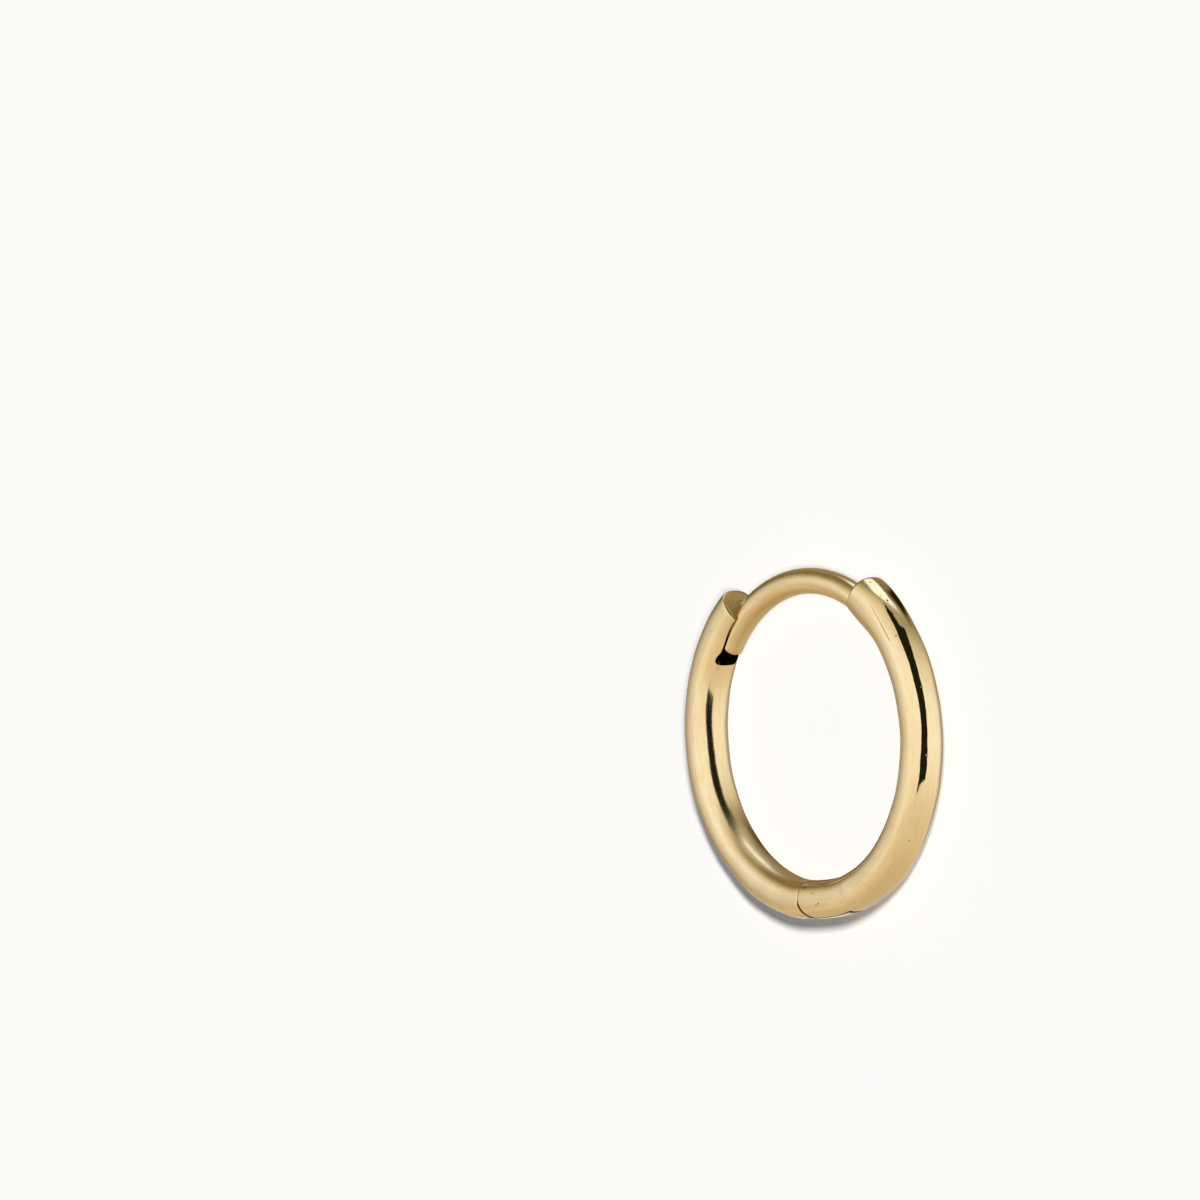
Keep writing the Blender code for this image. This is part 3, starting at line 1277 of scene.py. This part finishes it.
    def painted_shade_places(self, from_centre: Wire) -> Wire:
        """Finds where shade is painted in: the walls of the hinge's seam and slot.

        Args:
            from_centre: Places, measured from the ring's centre.

        Returns:
            How much painted shade the place has, from 0 to 1. It is darkest near the tube's skin.
        """
        plan = self.plan
        x, y, z = from_centre.parts()
        before_pin = plan.pin.x - x
        below_pin = plan.pin.y - y
        seam_depth = below_pin.clamped(0.0, plan.diameter)
        past_seam = (before_pin * before_pin + seam_depth * seam_depth).function("SQRT") - plan.pin.x
        relief = plan.seam_relief * seam_depth.rise(0.0, plan.seam_relief_ramp)
        width = self.seam_width
        soft = width * self.seam_softness
        on_seam = past_seam.rise(-width - soft, -width + soft) * (before_pin > 0) * (y < 0)
        on_seam = on_seam * (1 - (past_seam - relief).rise(width - soft, width + soft))
        faint, strong = self.seam_shade
        darkening = seam_depth.rise(self.seam_darkens, plan.seam_relief_ramp)
        on_seam = on_seam * (faint + (strong - faint) * darkening)
        height = z.function("ABSOLUTE")
        off_slot = (height - (plan.slot_width + plan.tongue_width) / 4).function("ABSOLUTE")
        to_pin = (before_pin * before_pin + below_pin * below_pin).function("SQRT")
        past_tongue = to_pin - plan.tongue_reach
        on_slot = (off_slot < self.slot_edge) * (past_tongue < 0) * (x > 0)
        margin = self.slot_margin
        at_slot_end = (past_tongue > -margin) * (past_tongue < plan.slot_end_gap + margin) * (x > 0)
        at_slot_end = at_slot_end * (height < plan.slot_width / 2 + margin)
        on_slot = on_slot.larger(at_slot_end) * self.slot_shade
        across = (from_centre.from_axis() - plan.tube_radius) * (2 / plan.thickness)
        up = z * (2 / plan.width)
        near_skin = (across * across + up * up).rise(*self.skin_shade_depths)
        kept = self.deep_shade_share + (1 - self.deep_shade_share) * near_skin
        return on_seam.larger(on_slot) * kept


@dataclass(frozen=True)
class ChannelledGold(PolishedGold):
    """The back half's gold, with painted shade inside the post's channel and on its duller cut end.

    Its inner side has a deeper tone painted in for reflection and shade, and dulls, more towards the
    hinge, by angles from the middle of the back half, -X, apart from a smoother band along its upper
    side that lifts the painted shade. Inside the channel the painted shade starts some way in from its
    mouth, where the post enters, and is lighter on its floor, where a little light is painted in.
    """

    roughness: float = 0.15
    # Share of the painted shade kept deeper in, away from the skin.
    deep_shade_share: float = 0.30
    # The inner side's painted tone of reflection and shade, strong here and growing towards the hinge.
    inner_shade_tint: float = 0.72
    inner_shade_colour: Colour = (0.60, 0.37, 0.12)
    inner_roughness: float = 0.20
    # Share of the painted tone on the inner side before it grows towards the hinge.
    plain_shade_tint: float = 0.10
    shade_deepens: tuple[float, float] = (math.radians(22.0), math.radians(50.0))
    dulls: tuple[float, float] = (math.radians(20.0), math.radians(50.0))
    # A band on the upper inner side that is smoother and has its painted shade lifted, so the highlight
    # shows there as a thin bright line.
    buffed_unshaded_heights: tuple[float, float] = (0.20 * MM, 0.33 * MM)
    buffed_unshaded_edge: float = 0.03 * MM
    buffed_unshaded_from: tuple[float, float] = (math.radians(44.0), math.radians(53.0))
    buffed_unshaded: float = 0.58
    channel: Optional[Channel] = None
    margin: float = 0.006 * MM
    # Painted shade inside the channel: this share at its mouth, full from some way in, and lighter on
    # its floor, where a little light is painted in.
    mouth_shade: float = 0.30
    mouth_dullness: float = 2.6
    shade_starts: tuple[float, float] = (math.radians(6.0), math.radians(12.0))
    above_floor: tuple[float, float] = (0.1 * MM, 0.01 * MM)
    lit_heights: tuple[float, float] = (-0.2 * MM, 0.35 * MM)
    lit_share: float = 0.25
    # The cut end gets a deeper painted tone and a little painted darkening, both shade.
    cut_end_shade_tint: float = 0.97
    cut_end_shade: float = 0.10

    def inner_side(self, from_centre: Wire) -> tuple[Wire, Wire]:
        """Paints a deeper tone for reflection and shade on the inner side towards the hinge, and on the
        cut end.

        Args:
            from_centre: Places, measured from the ring's centre.

        Returns:
            How much of the painted deeper tone a place has, and how much of the inner side's dullness.
        """
        inner, _ = super().inner_side(from_centre)
        past_middle = (-from_centre).bearing()
        height = from_centre.parts()[2]
        # The smoother band lifts the painted tone and the dullness.
        streak = height.within(*self.buffed_unshaded_heights, self.buffed_unshaded_edge)
        shaded_unbuffed = 1 - streak * past_middle.rise(*self.buffed_unshaded_from) * self.buffed_unshaded
        deepened = past_middle.rise(*self.shade_deepens) * shaded_unbuffed
        painted_tone_share = inner * (self.plain_shade_tint + (1 - self.plain_shade_tint) * deepened)
        inside, deep, _ = self.in_channel(from_centre)
        dulled = inner * past_middle.rise(*self.dulls) * shaded_unbuffed
        dulled = dulled.larger(inside * (1 - deep) * self.mouth_dullness)
        # The cut end gets the painted deeper tone too.
        return painted_tone_share.larger(self.cut_end(from_centre) * self.cut_end_shade_tint), dulled

    def in_channel(self, from_centre: Wire) -> tuple[Wire, Wire, Wire]:
        """Finds the inside of the channel.

        Args:
            from_centre: Places, measured from the ring's centre.

        Returns:
            Whether a place is inside, how deep in from the mouth it is, and how near the floor.
        """
        plan = self.plan
        channel = self.channel
        across = from_centre.from_axis() - plan.tube_radius
        bearing = from_centre.bearing()
        height = from_centre.parts()[2].function("ABSOLUTE")
        turn = channel.end - channel.start
        way = ((bearing - channel.start) / turn).clamped()
        wall = channel.wall_at(0, way, turn * plan.tube_radius)
        along = (bearing > 0) * (bearing < channel.end + self.margin / plan.tube_radius)
        inside = along * (height < wall + self.margin) * (across < channel.floor + self.margin)
        deep = bearing.rise(*(channel.start + angle for angle in self.shade_starts))
        on_floor = across.rise(*(channel.floor - depth for depth in self.above_floor))
        return inside, deep, on_floor

    def cut_end(self, from_centre: Wire) -> Wire:
        """Finds the flat cut end beside the channel's mouth.

        Args:
            from_centre: Places, measured from the ring's centre.

        Returns:
            1 on the cut end, 0 elsewhere.
        """
        across = from_centre.from_axis() - self.plan.tube_radius
        bearing = from_centre.bearing()
        end = self.channel.start + self.margin / self.plan.tube_radius
        return (bearing > 0) * (bearing - across * self.plan.back_end_slant < end)

    def painted_shade_places(self, from_centre: Wire) -> Wire:
        """Finds the painted shade in the hinge's seam, inside the channel and on the cut end.

        Args:
            from_centre: Places, measured from the ring's centre.

        Returns:
            How much painted shade the place has, from 0 to 1.
        """
        inside, deep, on_floor = self.in_channel(from_centre)
        lit = on_floor * from_centre.parts()[2].rise(*self.lit_heights) * self.lit_share
        # Painted shade inside the channel, deeper in from the mouth, lighter where light is painted on
        # its floor.
        channel_shade = inside * (self.mouth_shade + (1 - self.mouth_shade) * deep) * (1 - lit)
        # A little painted shade on the cut end.
        at_end = self.cut_end(from_centre) * self.cut_end_shade
        return super().painted_shade_places(from_centre) + channel_shade.larger(at_end)


@dataclass(frozen=True)
class PostGold(PolishedGold):
    """The ear post's gold, a little duller than the front half's, most of all on its inner side, which
    has a deeper tone painted in for reflection and shade.
    """

    roughness: float = 0.12
    # The wire's inner side gets a deeper tone painted in for reflection and shade.
    inner_shade_tint: float = 0.4
    inner_roughness: float = 0.26
    inner_depths: tuple[float, float] = (0.05 * MM, 0.4 * MM)
    # Painted shade along the hairline where the wire comes out of the tube's end.
    joint_half_width: float = 0.016 * MM
    joint_edge: tuple[float, float] = (0.5, 1.5)
    joint_shade: float = 0.55

    def inner_side(self, from_centre: Wire) -> tuple[Wire, Wire]:
        """Tells the wire's side that faces the ring's centre.

        Args:
            from_centre: Places, measured from the ring's centre.

        Returns:
            How much of the painted deeper tone a place has, and how much of the inner side's dullness.
        """
        from_arc = from_centre - (self.plan.post_arc_shift, 0.0, 0.0)
        inner = (self.plan.post_arc_radius - from_arc.from_axis()).rise(*self.inner_depths)
        return inner, inner

    def painted_shade_places(self, from_centre: Wire) -> Wire:
        """Finds the hairline of painted shade where the wire comes out of the tube's end.

        Args:
            from_centre: Places, measured from the ring's centre.

        Returns:
            How dark the place is, from 0 to 1.
        """
        end = self.plan.front_end
        off_joint = from_centre.dot((math.sin(end), -math.cos(end), 0.0)).function("ABSOLUTE")
        faded = off_joint.rise(*(self.joint_half_width * share for share in self.joint_edge))
        return (1 - faded) * self.joint_shade


FRONT_PITS = (
    Pit(bearing=58.8, around=19, radius=0.036 * MM, darkness=0.9),
    Pit(bearing=49.7, around=13, radius=0.036 * MM, darkness=1.0),
    Pit(bearing=52.0, around=24, radius=0.022 * MM, darkness=0.6),
    Pit(bearing=37.1, around=43, radius=0.030 * MM, darkness=0.9),
    Pit(bearing=-31.2, around=22, radius=0.030 * MM, darkness=0.8),
    Pit(bearing=-79.2, around=81, radius=0.036 * MM, darkness=1.0),
    Pit(bearing=-80.5, around=76.5, radius=0.028 * MM, darkness=1.0),
    Pit(bearing=-71.6, around=15, radius=0.075 * MM, darkness=1.0),
    Pit(bearing=-87.5, around=127, radius=0.075 * MM, darkness=0.4),
    Pit(bearing=18.9, around=17, radius=0.030 * MM, darkness=0.5),
    Pit(bearing=-2.5, around=21, radius=0.030 * MM, darkness=0.5),
)
FRONT_SCRATCHES = (
    Scratch(bearings=(50.6, 43.7), arounds=(65, 69), half_width=0.011 * MM, darkness=0.6),
    Scratch(bearings=(43.7, 36.8), arounds=(69, 69), half_width=0.013 * MM, darkness=0.8),
)


# Pieces

@dataclass
class FrontHalf:
    """The front half: a tube with a rounded square end, and two ears at the hinge."""

    plan: HoopPlan
    metal: bpy.types.Material
    rim: Rim = Rim(0.15 * MM, 0.09 * MM)
    stations: tuple[int, int] = (200, 40)
    ear_rounding: float = 0.015 * MM
    rounding_steps: int = 2

    def build(self) -> bpy.types.Object:
        """Sweeps the tube, eases its edges and bores its ears.

        Returns:
            The finished piece.
        """
        plan = self.plan
        lip = plan.slot_width / 2
        slot_end = plan.tongue_reach + plan.slot_end_gap
        seam = plan.pin.x - plan.seam_gap / 2
        mesh = Section(plan, (lip,)).mesh("front_section", (
            lambda across, height: True,
            lambda across, height: abs(height) > lip,
        ))
        cuts = (
            RadialCut(plan.front_end),
            PinCut(plan, slot_end, Side.PAST_PIN),
            PinCut(plan, seam, Side.BEFORE_PIN),
        )
        sweep = RingSweep(plan, "front_sweep", cuts, self.stations, self.rim)
        piece = sweep.tree().run("front_tube", mesh, self.metal)
        ease_edges(piece, self.ear_rounding, self.rounding_steps)
        bore(piece, plan)
        polish_shading(piece)
        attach(piece, "front")
        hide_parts("front_half")
        return piece


@dataclass
class BackHalf:
    """The back half: a tube with a channel for the post at one end and the tongue at the other."""

    plan: HoopPlan
    metal: bpy.types.Material
    channel: Channel
    rim: Rim = Rim(0.07 * MM, 0.04 * MM, 10)
    stations: tuple[int, int, int] = (60, 170, 40)
    edge_rounding: float = 0.035 * MM
    rounding_steps: int = 3

    def build(self) -> bpy.types.Object:
        """Sweeps the tube with its channel and tongue, eases its edges and bores the tongue.

        Returns:
            The finished piece.
        """
        plan = self.plan
        lip = plan.tongue_width / 2
        wall = self.channel.wall
        floor = self.channel.floor
        mesh = Section(plan, (lip, wall), floor).mesh("back_section", (
            lambda across, height: abs(height) > wall or across > floor,
            lambda across, height: True,
            lambda across, height: abs(height) < lip,
        ))
        seam = plan.pin.x + plan.seam_gap / 2
        cuts = (
            RadialCut(plan.back_end, plan.back_end_slant, plan.tube_radius),
            RadialCut(self.channel.end),
            PinCut(plan, seam, Side.BEFORE_PIN, turns=1, relief=plan.seam_relief),
            PinCut(plan, plan.tongue_reach, Side.PAST_PIN, turns=1),
        )
        sweep = RingSweep(plan, "back_sweep", cuts, self.stations, self.rim, self.channel)
        piece = sweep.tree().run("back_tube", mesh, self.metal)
        ease_edges(piece, self.edge_rounding, self.rounding_steps)
        bore(piece, plan)
        polish_shading(piece)
        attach(piece, "back")
        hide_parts("back_half")
        return piece


@dataclass
class EarPost:
    """The round wire that goes through the ear, soldered to the front half's end."""

    plan: HoopPlan
    metal: bpy.types.Material
    diameter: float = 0.84 * MM
    root: float = math.radians(60.5)
    tip: float = math.radians(149.5)
    tip_rounding: float = 0.16 * MM
    tip_share: float = 0.62
    taper: float = 0.19
    taper_reach: float = 1.4 * MM
    lean: float = 0.10 * MM
    solder_reach: float = 0.14 * MM
    solder_rise: float = 0.06 * MM
    stations: int = 340
    sides: int = 48

    def tree(self) -> PieceTree:
        """Writes the post as Geometry Nodes: a round wire along an arc, rounded at its tip.

        Returns:
            The tree.
        """
        arc_radius = self.plan.post_arc_radius
        net = PieceTree("post_wire", {
            "Arc radius": arc_radius,
            "Wire radius": self.diameter / 2,
            "Start": self.root,
            "Sweep": self.tip - self.root,
            "Centre": self.plan.in_world(self.plan.post_arc_shift, 0.0),
            "Tip share": self.tip_share,
            "Taper": self.taper,
            "Lean": self.lean,
            "Stations": self.stations,
            "Sides": self.sides,
        })
        wires = net.given
        arc = net.node("GeometryNodeCurveArc", {"mode": "RADIUS"},
                       {"Resolution": wires["Stations"], "Radius": wires["Arc radius"],
                        "Start Angle": wires["Start"], "Sweep Angle": wires["Sweep"]})
        length = wires["Sweep"] * wires["Arc radius"]
        way = net.node("GeometryNodeSplineParameter") * length
        ahead = length - way
        tip_share = wires["Tip share"]
        share = tip_share + (1 - tip_share) * (1 - left_to_rise((ahead / self.tip_rounding).clamped()))
        near_tip = 1 - ahead.rise(0.0, self.taper_reach)
        share = share * (1 - near_tip * wires["Taper"])
        out_of_tube = way - (self.plan.front_end - self.root) * arc_radius
        solder = 1 - out_of_tube.rise(0.0, self.solder_reach)
        share = share + solder * solder * (2 * self.solder_rise / self.diameter)
        ring = net.node("GeometryNodeCurvePrimitiveCircle", {"mode": "RADIUS"},
                        {"Resolution": wires["Sides"], "Radius": wires["Wire radius"]})
        inward = net.node("GeometryNodeInputPosition") * (-1 / arc_radius)
        leaning = net.node("GeometryNodeSetPosition", {},
                           {"Geometry": arc, "Offset": inward * (near_tip * wires["Lean"])})
        tube = net.node("GeometryNodeCurveToMesh", {},
                        {"Curve": leaning, "Profile Curve": ring, "Scale": share, "Fill Caps": True})
        net.finish(net.node("GeometryNodeTransform", {},
                            {"Geometry": tube, "Translation": wires["Centre"]}))
        return net

    def build(self) -> bpy.types.Object:
        """Makes the wire and turns its faces outwards.

        Returns:
            The finished piece.
        """
        piece = self.tree().run("ear_post", bpy.data.meshes.new("post_base"), self.metal)
        bm = bmesh.new()
        bm.from_mesh(piece.data)
        bmesh.ops.recalc_face_normals(bm, faces=bm.faces)
        bm.to_mesh(piece.data)
        bm.free()
        polish_shading(piece)
        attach(piece, "front")
        return piece


@dataclass
class HingePin:
    """The rivet through the ears and the tongue, burnished flush with the tube."""

    plan: HoopPlan
    metal: bpy.types.Material
    radius: float = 0.2245 * MM
    rim_drop: float = 0.0015 * MM
    rings: int = 8
    sides: int = 64

    def build(self) -> bpy.types.Object:
        """Makes the pin with ends that follow the tube's own curve.

        Returns:
            The finished piece.
        """
        plan = self.plan
        bm = bmesh.new()
        rims = []
        for side in (1, -1):
            crown = bm.verts.new(self.on_tube(0.0, 0.0, side))
            inner = None
            for ring in range(1, self.rings + 1):
                reach = self.radius * ring / self.rings
                drop = self.rim_drop if ring == self.rings else 0.0
                corners = []
                for step in range(self.sides):
                    angle = FULL_TURN * step / self.sides
                    place = self.on_tube(reach * math.cos(angle), reach * math.sin(angle), side)
                    corners.append(bm.verts.new(place - Vector((0.0, 0.0, side * drop))))
                for step in range(self.sides):
                    following = (step + 1) % self.sides
                    if inner is None:
                        bm.faces.new((crown, corners[step], corners[following]))
                    else:
                        bm.faces.new((inner[step], corners[step], corners[following], inner[following]))
                inner = corners
            rims.append(inner)
        for step in range(self.sides):
            following = (step + 1) % self.sides
            bm.faces.new((rims[0][step], rims[1][step], rims[1][following], rims[0][following]))
        bmesh.ops.recalc_face_normals(bm, faces=bm.faces)
        piece = linked("pin_rivet", kept_mesh("pin_rivet", bm))
        piece.data.materials.append(self.metal)
        polish_shading(piece)
        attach(piece, "front")
        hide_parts("hinge_pin")
        return piece

    def on_tube(self, x: float, y: float, side: int) -> Vector:
        """Places a point beside the pin's axis on the tube.

        Args:
            x: The point's distance from the pin's axis along X.
            y: Its distance from the pin's axis along Y.
            side: 1 for the tube's upper side, -1 for its lower side.

        Returns:
            The point.
        """
        plan = self.plan
        flat = Vector((plan.pin.x + x, plan.pin.y + y))
        height = plan.half_height(flat.length - plan.tube_radius)
        return plan.in_world(flat.x, flat.y, side * height)


# Studio

RIGHT = Vector((0.6468, 0.0, -0.7627))
TOWARDS_CAMERA = Vector((0.7604, 0.0778, 0.6448))
UP = TOWARDS_CAMERA.cross(RIGHT)


@dataclass(frozen=True)
class ViewPoint:
    """The camera, on the line from which the photograph was taken."""

    plan: HoopPlan
    frame_pixels: float = 1200.0
    hoop_across_pixels: float = 371.0
    hoop_pixel: tuple[float, float] = (814.3, 735.2)
    distance: float = 1.5
    clips: tuple[float, float] = (0.01, 10.0)
    sensor: float = 36.0

    def build(self) -> None:
        """Makes the camera and takes it into use."""
        pixel = self.plan.diameter / self.hoop_across_pixels
        half = self.frame_pixels / 2
        aside = (self.hoop_pixel[0] - half) * pixel
        below = (self.hoop_pixel[1] - half) * pixel
        target = self.plan.centre - RIGHT * aside + UP * below
        data = bpy.data.cameras.new("camera")
        data.sensor_width = self.sensor
        data.lens = self.sensor * self.distance / (self.frame_pixels * pixel)
        data.clip_start, data.clip_end = self.clips
        camera = linked("camera", data)
        turn = Matrix((RIGHT, UP, TOWARDS_CAMERA)).transposed()
        camera.matrix_world = Matrix.Translation(target + TOWARDS_CAMERA * self.distance) @ turn.to_4x4()
        bpy.context.scene.camera = camera


Border = tuple[tuple[float, float], ...]


@dataclass(frozen=True)
class Card:
    """A bright or a dark card in the light tent.

    It covers the slopes of polished metal that mirror it towards the camera. A slope's right and up are
    the shares of its normal along the picture's right and up. The card's left and right sides are
    straight and may lean, or they are ragged: a rising list of ups, each with the side's right there.
    """

    up: tuple[float, float]
    tone: Colour
    side_edges: tuple[float, float]
    end_edges: tuple[float, float]
    right: tuple[float, float] = (-1.0, 1.0)
    leans: tuple[float, float] = (0.0, 0.0)
    slants: tuple[float, float] = (0.0, 0.0)
    ragged: Optional[tuple[Border, Border]] = None

    def share(self, right: Wire, up: Wire) -> Wire:
        """Tells how much of a slope the card covers.

        Args:
            right: The slope's share to the right.
            up: The slope's share upwards.

        Returns:
            A number from 0 to 1.
        """
        past_left, past_right = (self.past(self.off_side(right, up, side), 0.0, edge)
                                 for side, edge in enumerate(self.side_edges))
        past_low, past_high = (self.past(up + right * slant, border, edge)
                               for slant, border, edge in zip(self.slants, self.up, self.end_edges))
        return past_left * (1 - past_right) * past_low * (1 - past_high)

    def off_side(self, right: Wire, up: Wire, side: int) -> Wire:
        """Gives how far a slope is to the right of one of the card's sides.

        Args:
            right: The slope's share to the right.
            up: The slope's share upwards.
            side: 0 for the card's left side, 1 for its right side.

        Returns:
            The distance, in shares of the normal.
        """
        if self.ragged is None:
            return right + up * self.leans[side] - self.right[side]
        stops = [((place + 1) / 2, (reach,) * 3) for place, reach in self.ragged[side]]
        reaches = right.net.node("ShaderNodeValToRGB", {"stops": stops}, {0: up * 0.5 + 0.5})
        return right - reaches.parts()[0]

    @staticmethod
    def past(value: Wire, border: float, edge: float) -> Wire:
        """Fades from 0 to 1 across a border whose soft edge has a given half-width."""
        return value.rise(border - edge, border + edge)


@dataclass(frozen=True)
class LightTent:
    """The light round the earring: pale walls, a darker ceiling, a bright card and two dark cards.

    The slopes give the walls' tones from the metal's slopes that face down, 0, to those that face up, 1.
    """

    backdrop: Colour = (0.965, 0.956, 0.939)
    fill: float = 0.12
    slopes: tuple[tuple[float, Colour], ...] = (
        (0.000, (0.95, 0.93, 0.98)),
        (0.022, (0.60, 0.54, 0.42)),
        (0.150, (0.67, 0.60, 0.45)),
        (0.240, (0.765, 0.71, 0.575)),
        (0.345, (0.86, 0.81, 0.73)),
        (0.385, (0.97, 0.96, 0.91)),
        (0.450, (1.04, 1.07, 1.13)),
        (0.530, (1.08, 1.14, 1.22)),
        (0.630, (1.03, 1.07, 1.14)),
        (0.680, (0.92, 0.94, 0.94)),
        (0.730, (0.80, 0.80, 0.74)),
        (0.780, (0.54, 0.53, 0.44)),
        (0.825, (0.34, 0.32, 0.21)),
        (0.860, (0.23, 0.20, 0.11)),
        (0.910, (0.25, 0.21, 0.11)),
        (1.000, (0.40, 0.34, 0.22)),
    )
    ceiling_from: tuple[float, float] = (-0.1, 0.3)
    ceiling_bend: float = 0.25
    ceiling_tilt: float = 0.12
    horizon_tilt: float = 0.07
    left_rim: tuple[float, float] = (0.62, 0.95)
    right_rim: tuple[float, float] = (0.74, 0.93)
    rim_tone: Colour = (0.40, 0.37, 0.33)
    cards: tuple[Card, ...] = (
        Card((0.620, 0.865), (1.10, 1.36, 1.70), (0.09, 0.03), (0.022, 0.02),
             right=(-0.12, 1.105), leans=(0.0, 1.0)),
        Card((-0.285, 0.572), (0.015, 0.016, 0.006), (0.014, 0.012), (0.012, 0.012),
             slants=(-0.094, 0.0), ragged=(
                 ((-0.25, 0.03), (-0.14, 0.06), (0.0, 0.13), (0.12, 0.15), (0.22, 0.06),
                  (0.33, 0.08), (0.38, 0.03), (0.43, 0.02), (0.55, 0.06)),
                 ((-0.25, 0.42), (-0.14, 0.44), (-0.07, 0.42), (0.0, 0.45), (0.12, 0.48),
                  (0.22, 0.46), (0.33, 0.43), (0.42, 0.41), (0.55, 0.43)),
             )),
        Card((0.60, 0.745), (0.02, 0.013, 0.003), (0.035, 0.05), (0.03, 0.03),
             right=(1.17, 0.80), leans=(1.0, 0.0)),
    )

    def build(self) -> None:
        """Writes the tent as the world's light, and sets the picture's plain tone curve."""
        scene = bpy.context.scene
        scene.view_settings.view_transform = "Standard"
        world = bpy.data.worlds.new("light_tent")
        world.use_nodes = True
        scene.world = world
        net = Net(world.node_tree)
        direction = net.node("ShaderNodeTexCoord", output="Generated")
        towards = net.node("ShaderNodeVectorMath", {"operation": "NORMALIZE"}, {0: direction})
        slope = net.node("ShaderNodeVectorMath", {"operation": "NORMALIZE"},
                         {0: towards + tuple(TOWARDS_CAMERA)})
        right = slope.dot(RIGHT)
        up = slope.dot(UP)
        bend = right * right * self.ceiling_bend - right * self.ceiling_tilt
        bent = up + right * self.horizon_tilt + bend * up.rise(*self.ceiling_from)
        tone = net.node("ShaderNodeValToRGB", {"stops": self.slopes}, {0: bent * 0.5 + 0.5})
        aside = right.rise(*self.right_rim) + (-right).rise(*self.left_rim)
        tone = net.blend(aside, tone, tone * self.rim_tone)
        for card in self.cards:
            tone = net.blend(card.share(right, up), tone, card.tone)
        rays = net.tree.nodes.new("ShaderNodeLightPath")
        seen = Wire(net, rays.outputs["Is Camera Ray"])
        mirrored = Wire(net, rays.outputs["Is Glossy Ray"])
        light = net.blend(mirrored, (self.fill,) * 3, tone)
        light = net.blend(seen, light, self.backdrop)
        net.end_in("ShaderNodeBackground", "ShaderNodeOutputWorld", {"Color": light})


@dataclass(frozen=True)
class Tabletop:
    """The plain pale floor, and the small soft lamp that throws the shadow.

    The floor glows faintly where the lamp's light falls off, so that it is even all over. The lamp's
    breadth gain allows for its light coming from a disc and not from its middle alone.
    """

    plan: HoopPlan
    tone: Colour = (0.80, 0.793, 0.78)
    level: Colour = (0.869, 0.861, 0.845)
    reach: float = 3.0
    lamp_watts: float = 0.068
    lamp_offset: Vector = Vector((22.0, 6.0, 24.0)) * MM
    lamp_aim: Vector = Vector((-0.69, -0.512, 0.512))
    lamp_diameter: float = 9.0 * MM
    lamp_tone: Colour = (1.0, 0.985, 0.95)
    lamp_breadth_gain: float = 1.012

    @property
    def lamp_place(self) -> Vector:
        """The lamp's middle."""
        return self.plan.centre + self.lamp_offset

    def build(self) -> None:
        """Makes the floor and its lamp."""
        bm = bmesh.new()
        bmesh.ops.create_grid(bm, x_segments=1, y_segments=1, size=self.reach)
        floor = linked("floor", kept_mesh("floor", bm))
        floor.visible_glossy = False
        floor.data.materials.append(self.material())
        self.hang_lamp()

    def material(self) -> bpy.types.Material:
        """Makes the floor's matt white, with the glow that fills in for the lamp.

        Returns:
            The material.
        """
        material = bpy.data.materials.new("pale_floor")
        material.use_nodes = True
        net = Net(material.node_tree)
        to_lamp = tuple(self.lamp_place) - net.node("ShaderNodeTexCoord", output="Object")
        square = to_lamp.length() ** 2
        facing = to_lamp.dot(-self.lamp_aim).clamped(0.0, self.reach)
        strength = self.lamp_watts * self.lamp_breadth_gain / math.pi ** 2
        lamplight = facing * to_lamp.parts()[2] / (square * square) * strength
        glow = net.vector(*((level - lamplight * (tone * lit)).clamped()
                            for level, tone, lit in zip(self.level, self.tone, self.lamp_tone)))
        net.end_in("ShaderNodeBsdfPrincipled", "ShaderNodeOutputMaterial", {
            "Base Color": self.tone,
            "Roughness": 1.0,
            "Specular IOR Level": 0.0,
            "Emission Color": glow,
            "Emission Strength": 1.0,
        })
        return material

    def hang_lamp(self) -> None:
        """Hangs the round lamp above the front half's side, turned towards the hinge and a little up."""
        data = bpy.data.lights.new("soft_lamp", "AREA")
        data.shape = "DISK"
        data.size = self.lamp_diameter
        data.energy = self.lamp_watts
        data.color = self.lamp_tone
        lamp = linked("soft_lamp", data)
        turn = self.lamp_aim.to_track_quat("-Z", "Y").to_matrix().to_4x4()
        lamp.matrix_world = Matrix.Translation(self.lamp_place) @ turn
        lamp.visible_glossy = False
        lamp.visible_camera = False


def main() -> None:
    """Builds the earring's pieces and the studio round them."""
    logging.basicConfig(level=logging.INFO, format="%(name)s: %(message)s")
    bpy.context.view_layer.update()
    plan = HoopPlan.from_frame()
    channel = Channel(plan.back_end)
    front_gold = PolishedGold("front_gold_polish", plan, pits=FRONT_PITS,
                              scratches=FRONT_SCRATCHES).material()
    back_gold = ChannelledGold("back_gold_polish", plan, channel=channel).material()
    post_gold = PostGold("post_gold_polish", plan).material()
    pieces = [
        FrontHalf(plan, front_gold),
        BackHalf(plan, back_gold, channel),
        EarPost(plan, post_gold),
        HingePin(plan, front_gold),
    ]
    for piece in pieces:
        made = piece.build()
        made.visible_glossy = made.name in MIRRORED_PIECES
        LOG.info("%s has %d faces", made.name, len(made.data.polygons))
    Tabletop(plan).build()
    LightTent().build()
    ViewPoint(plan).build()


if __name__ == "__main__":
    main()
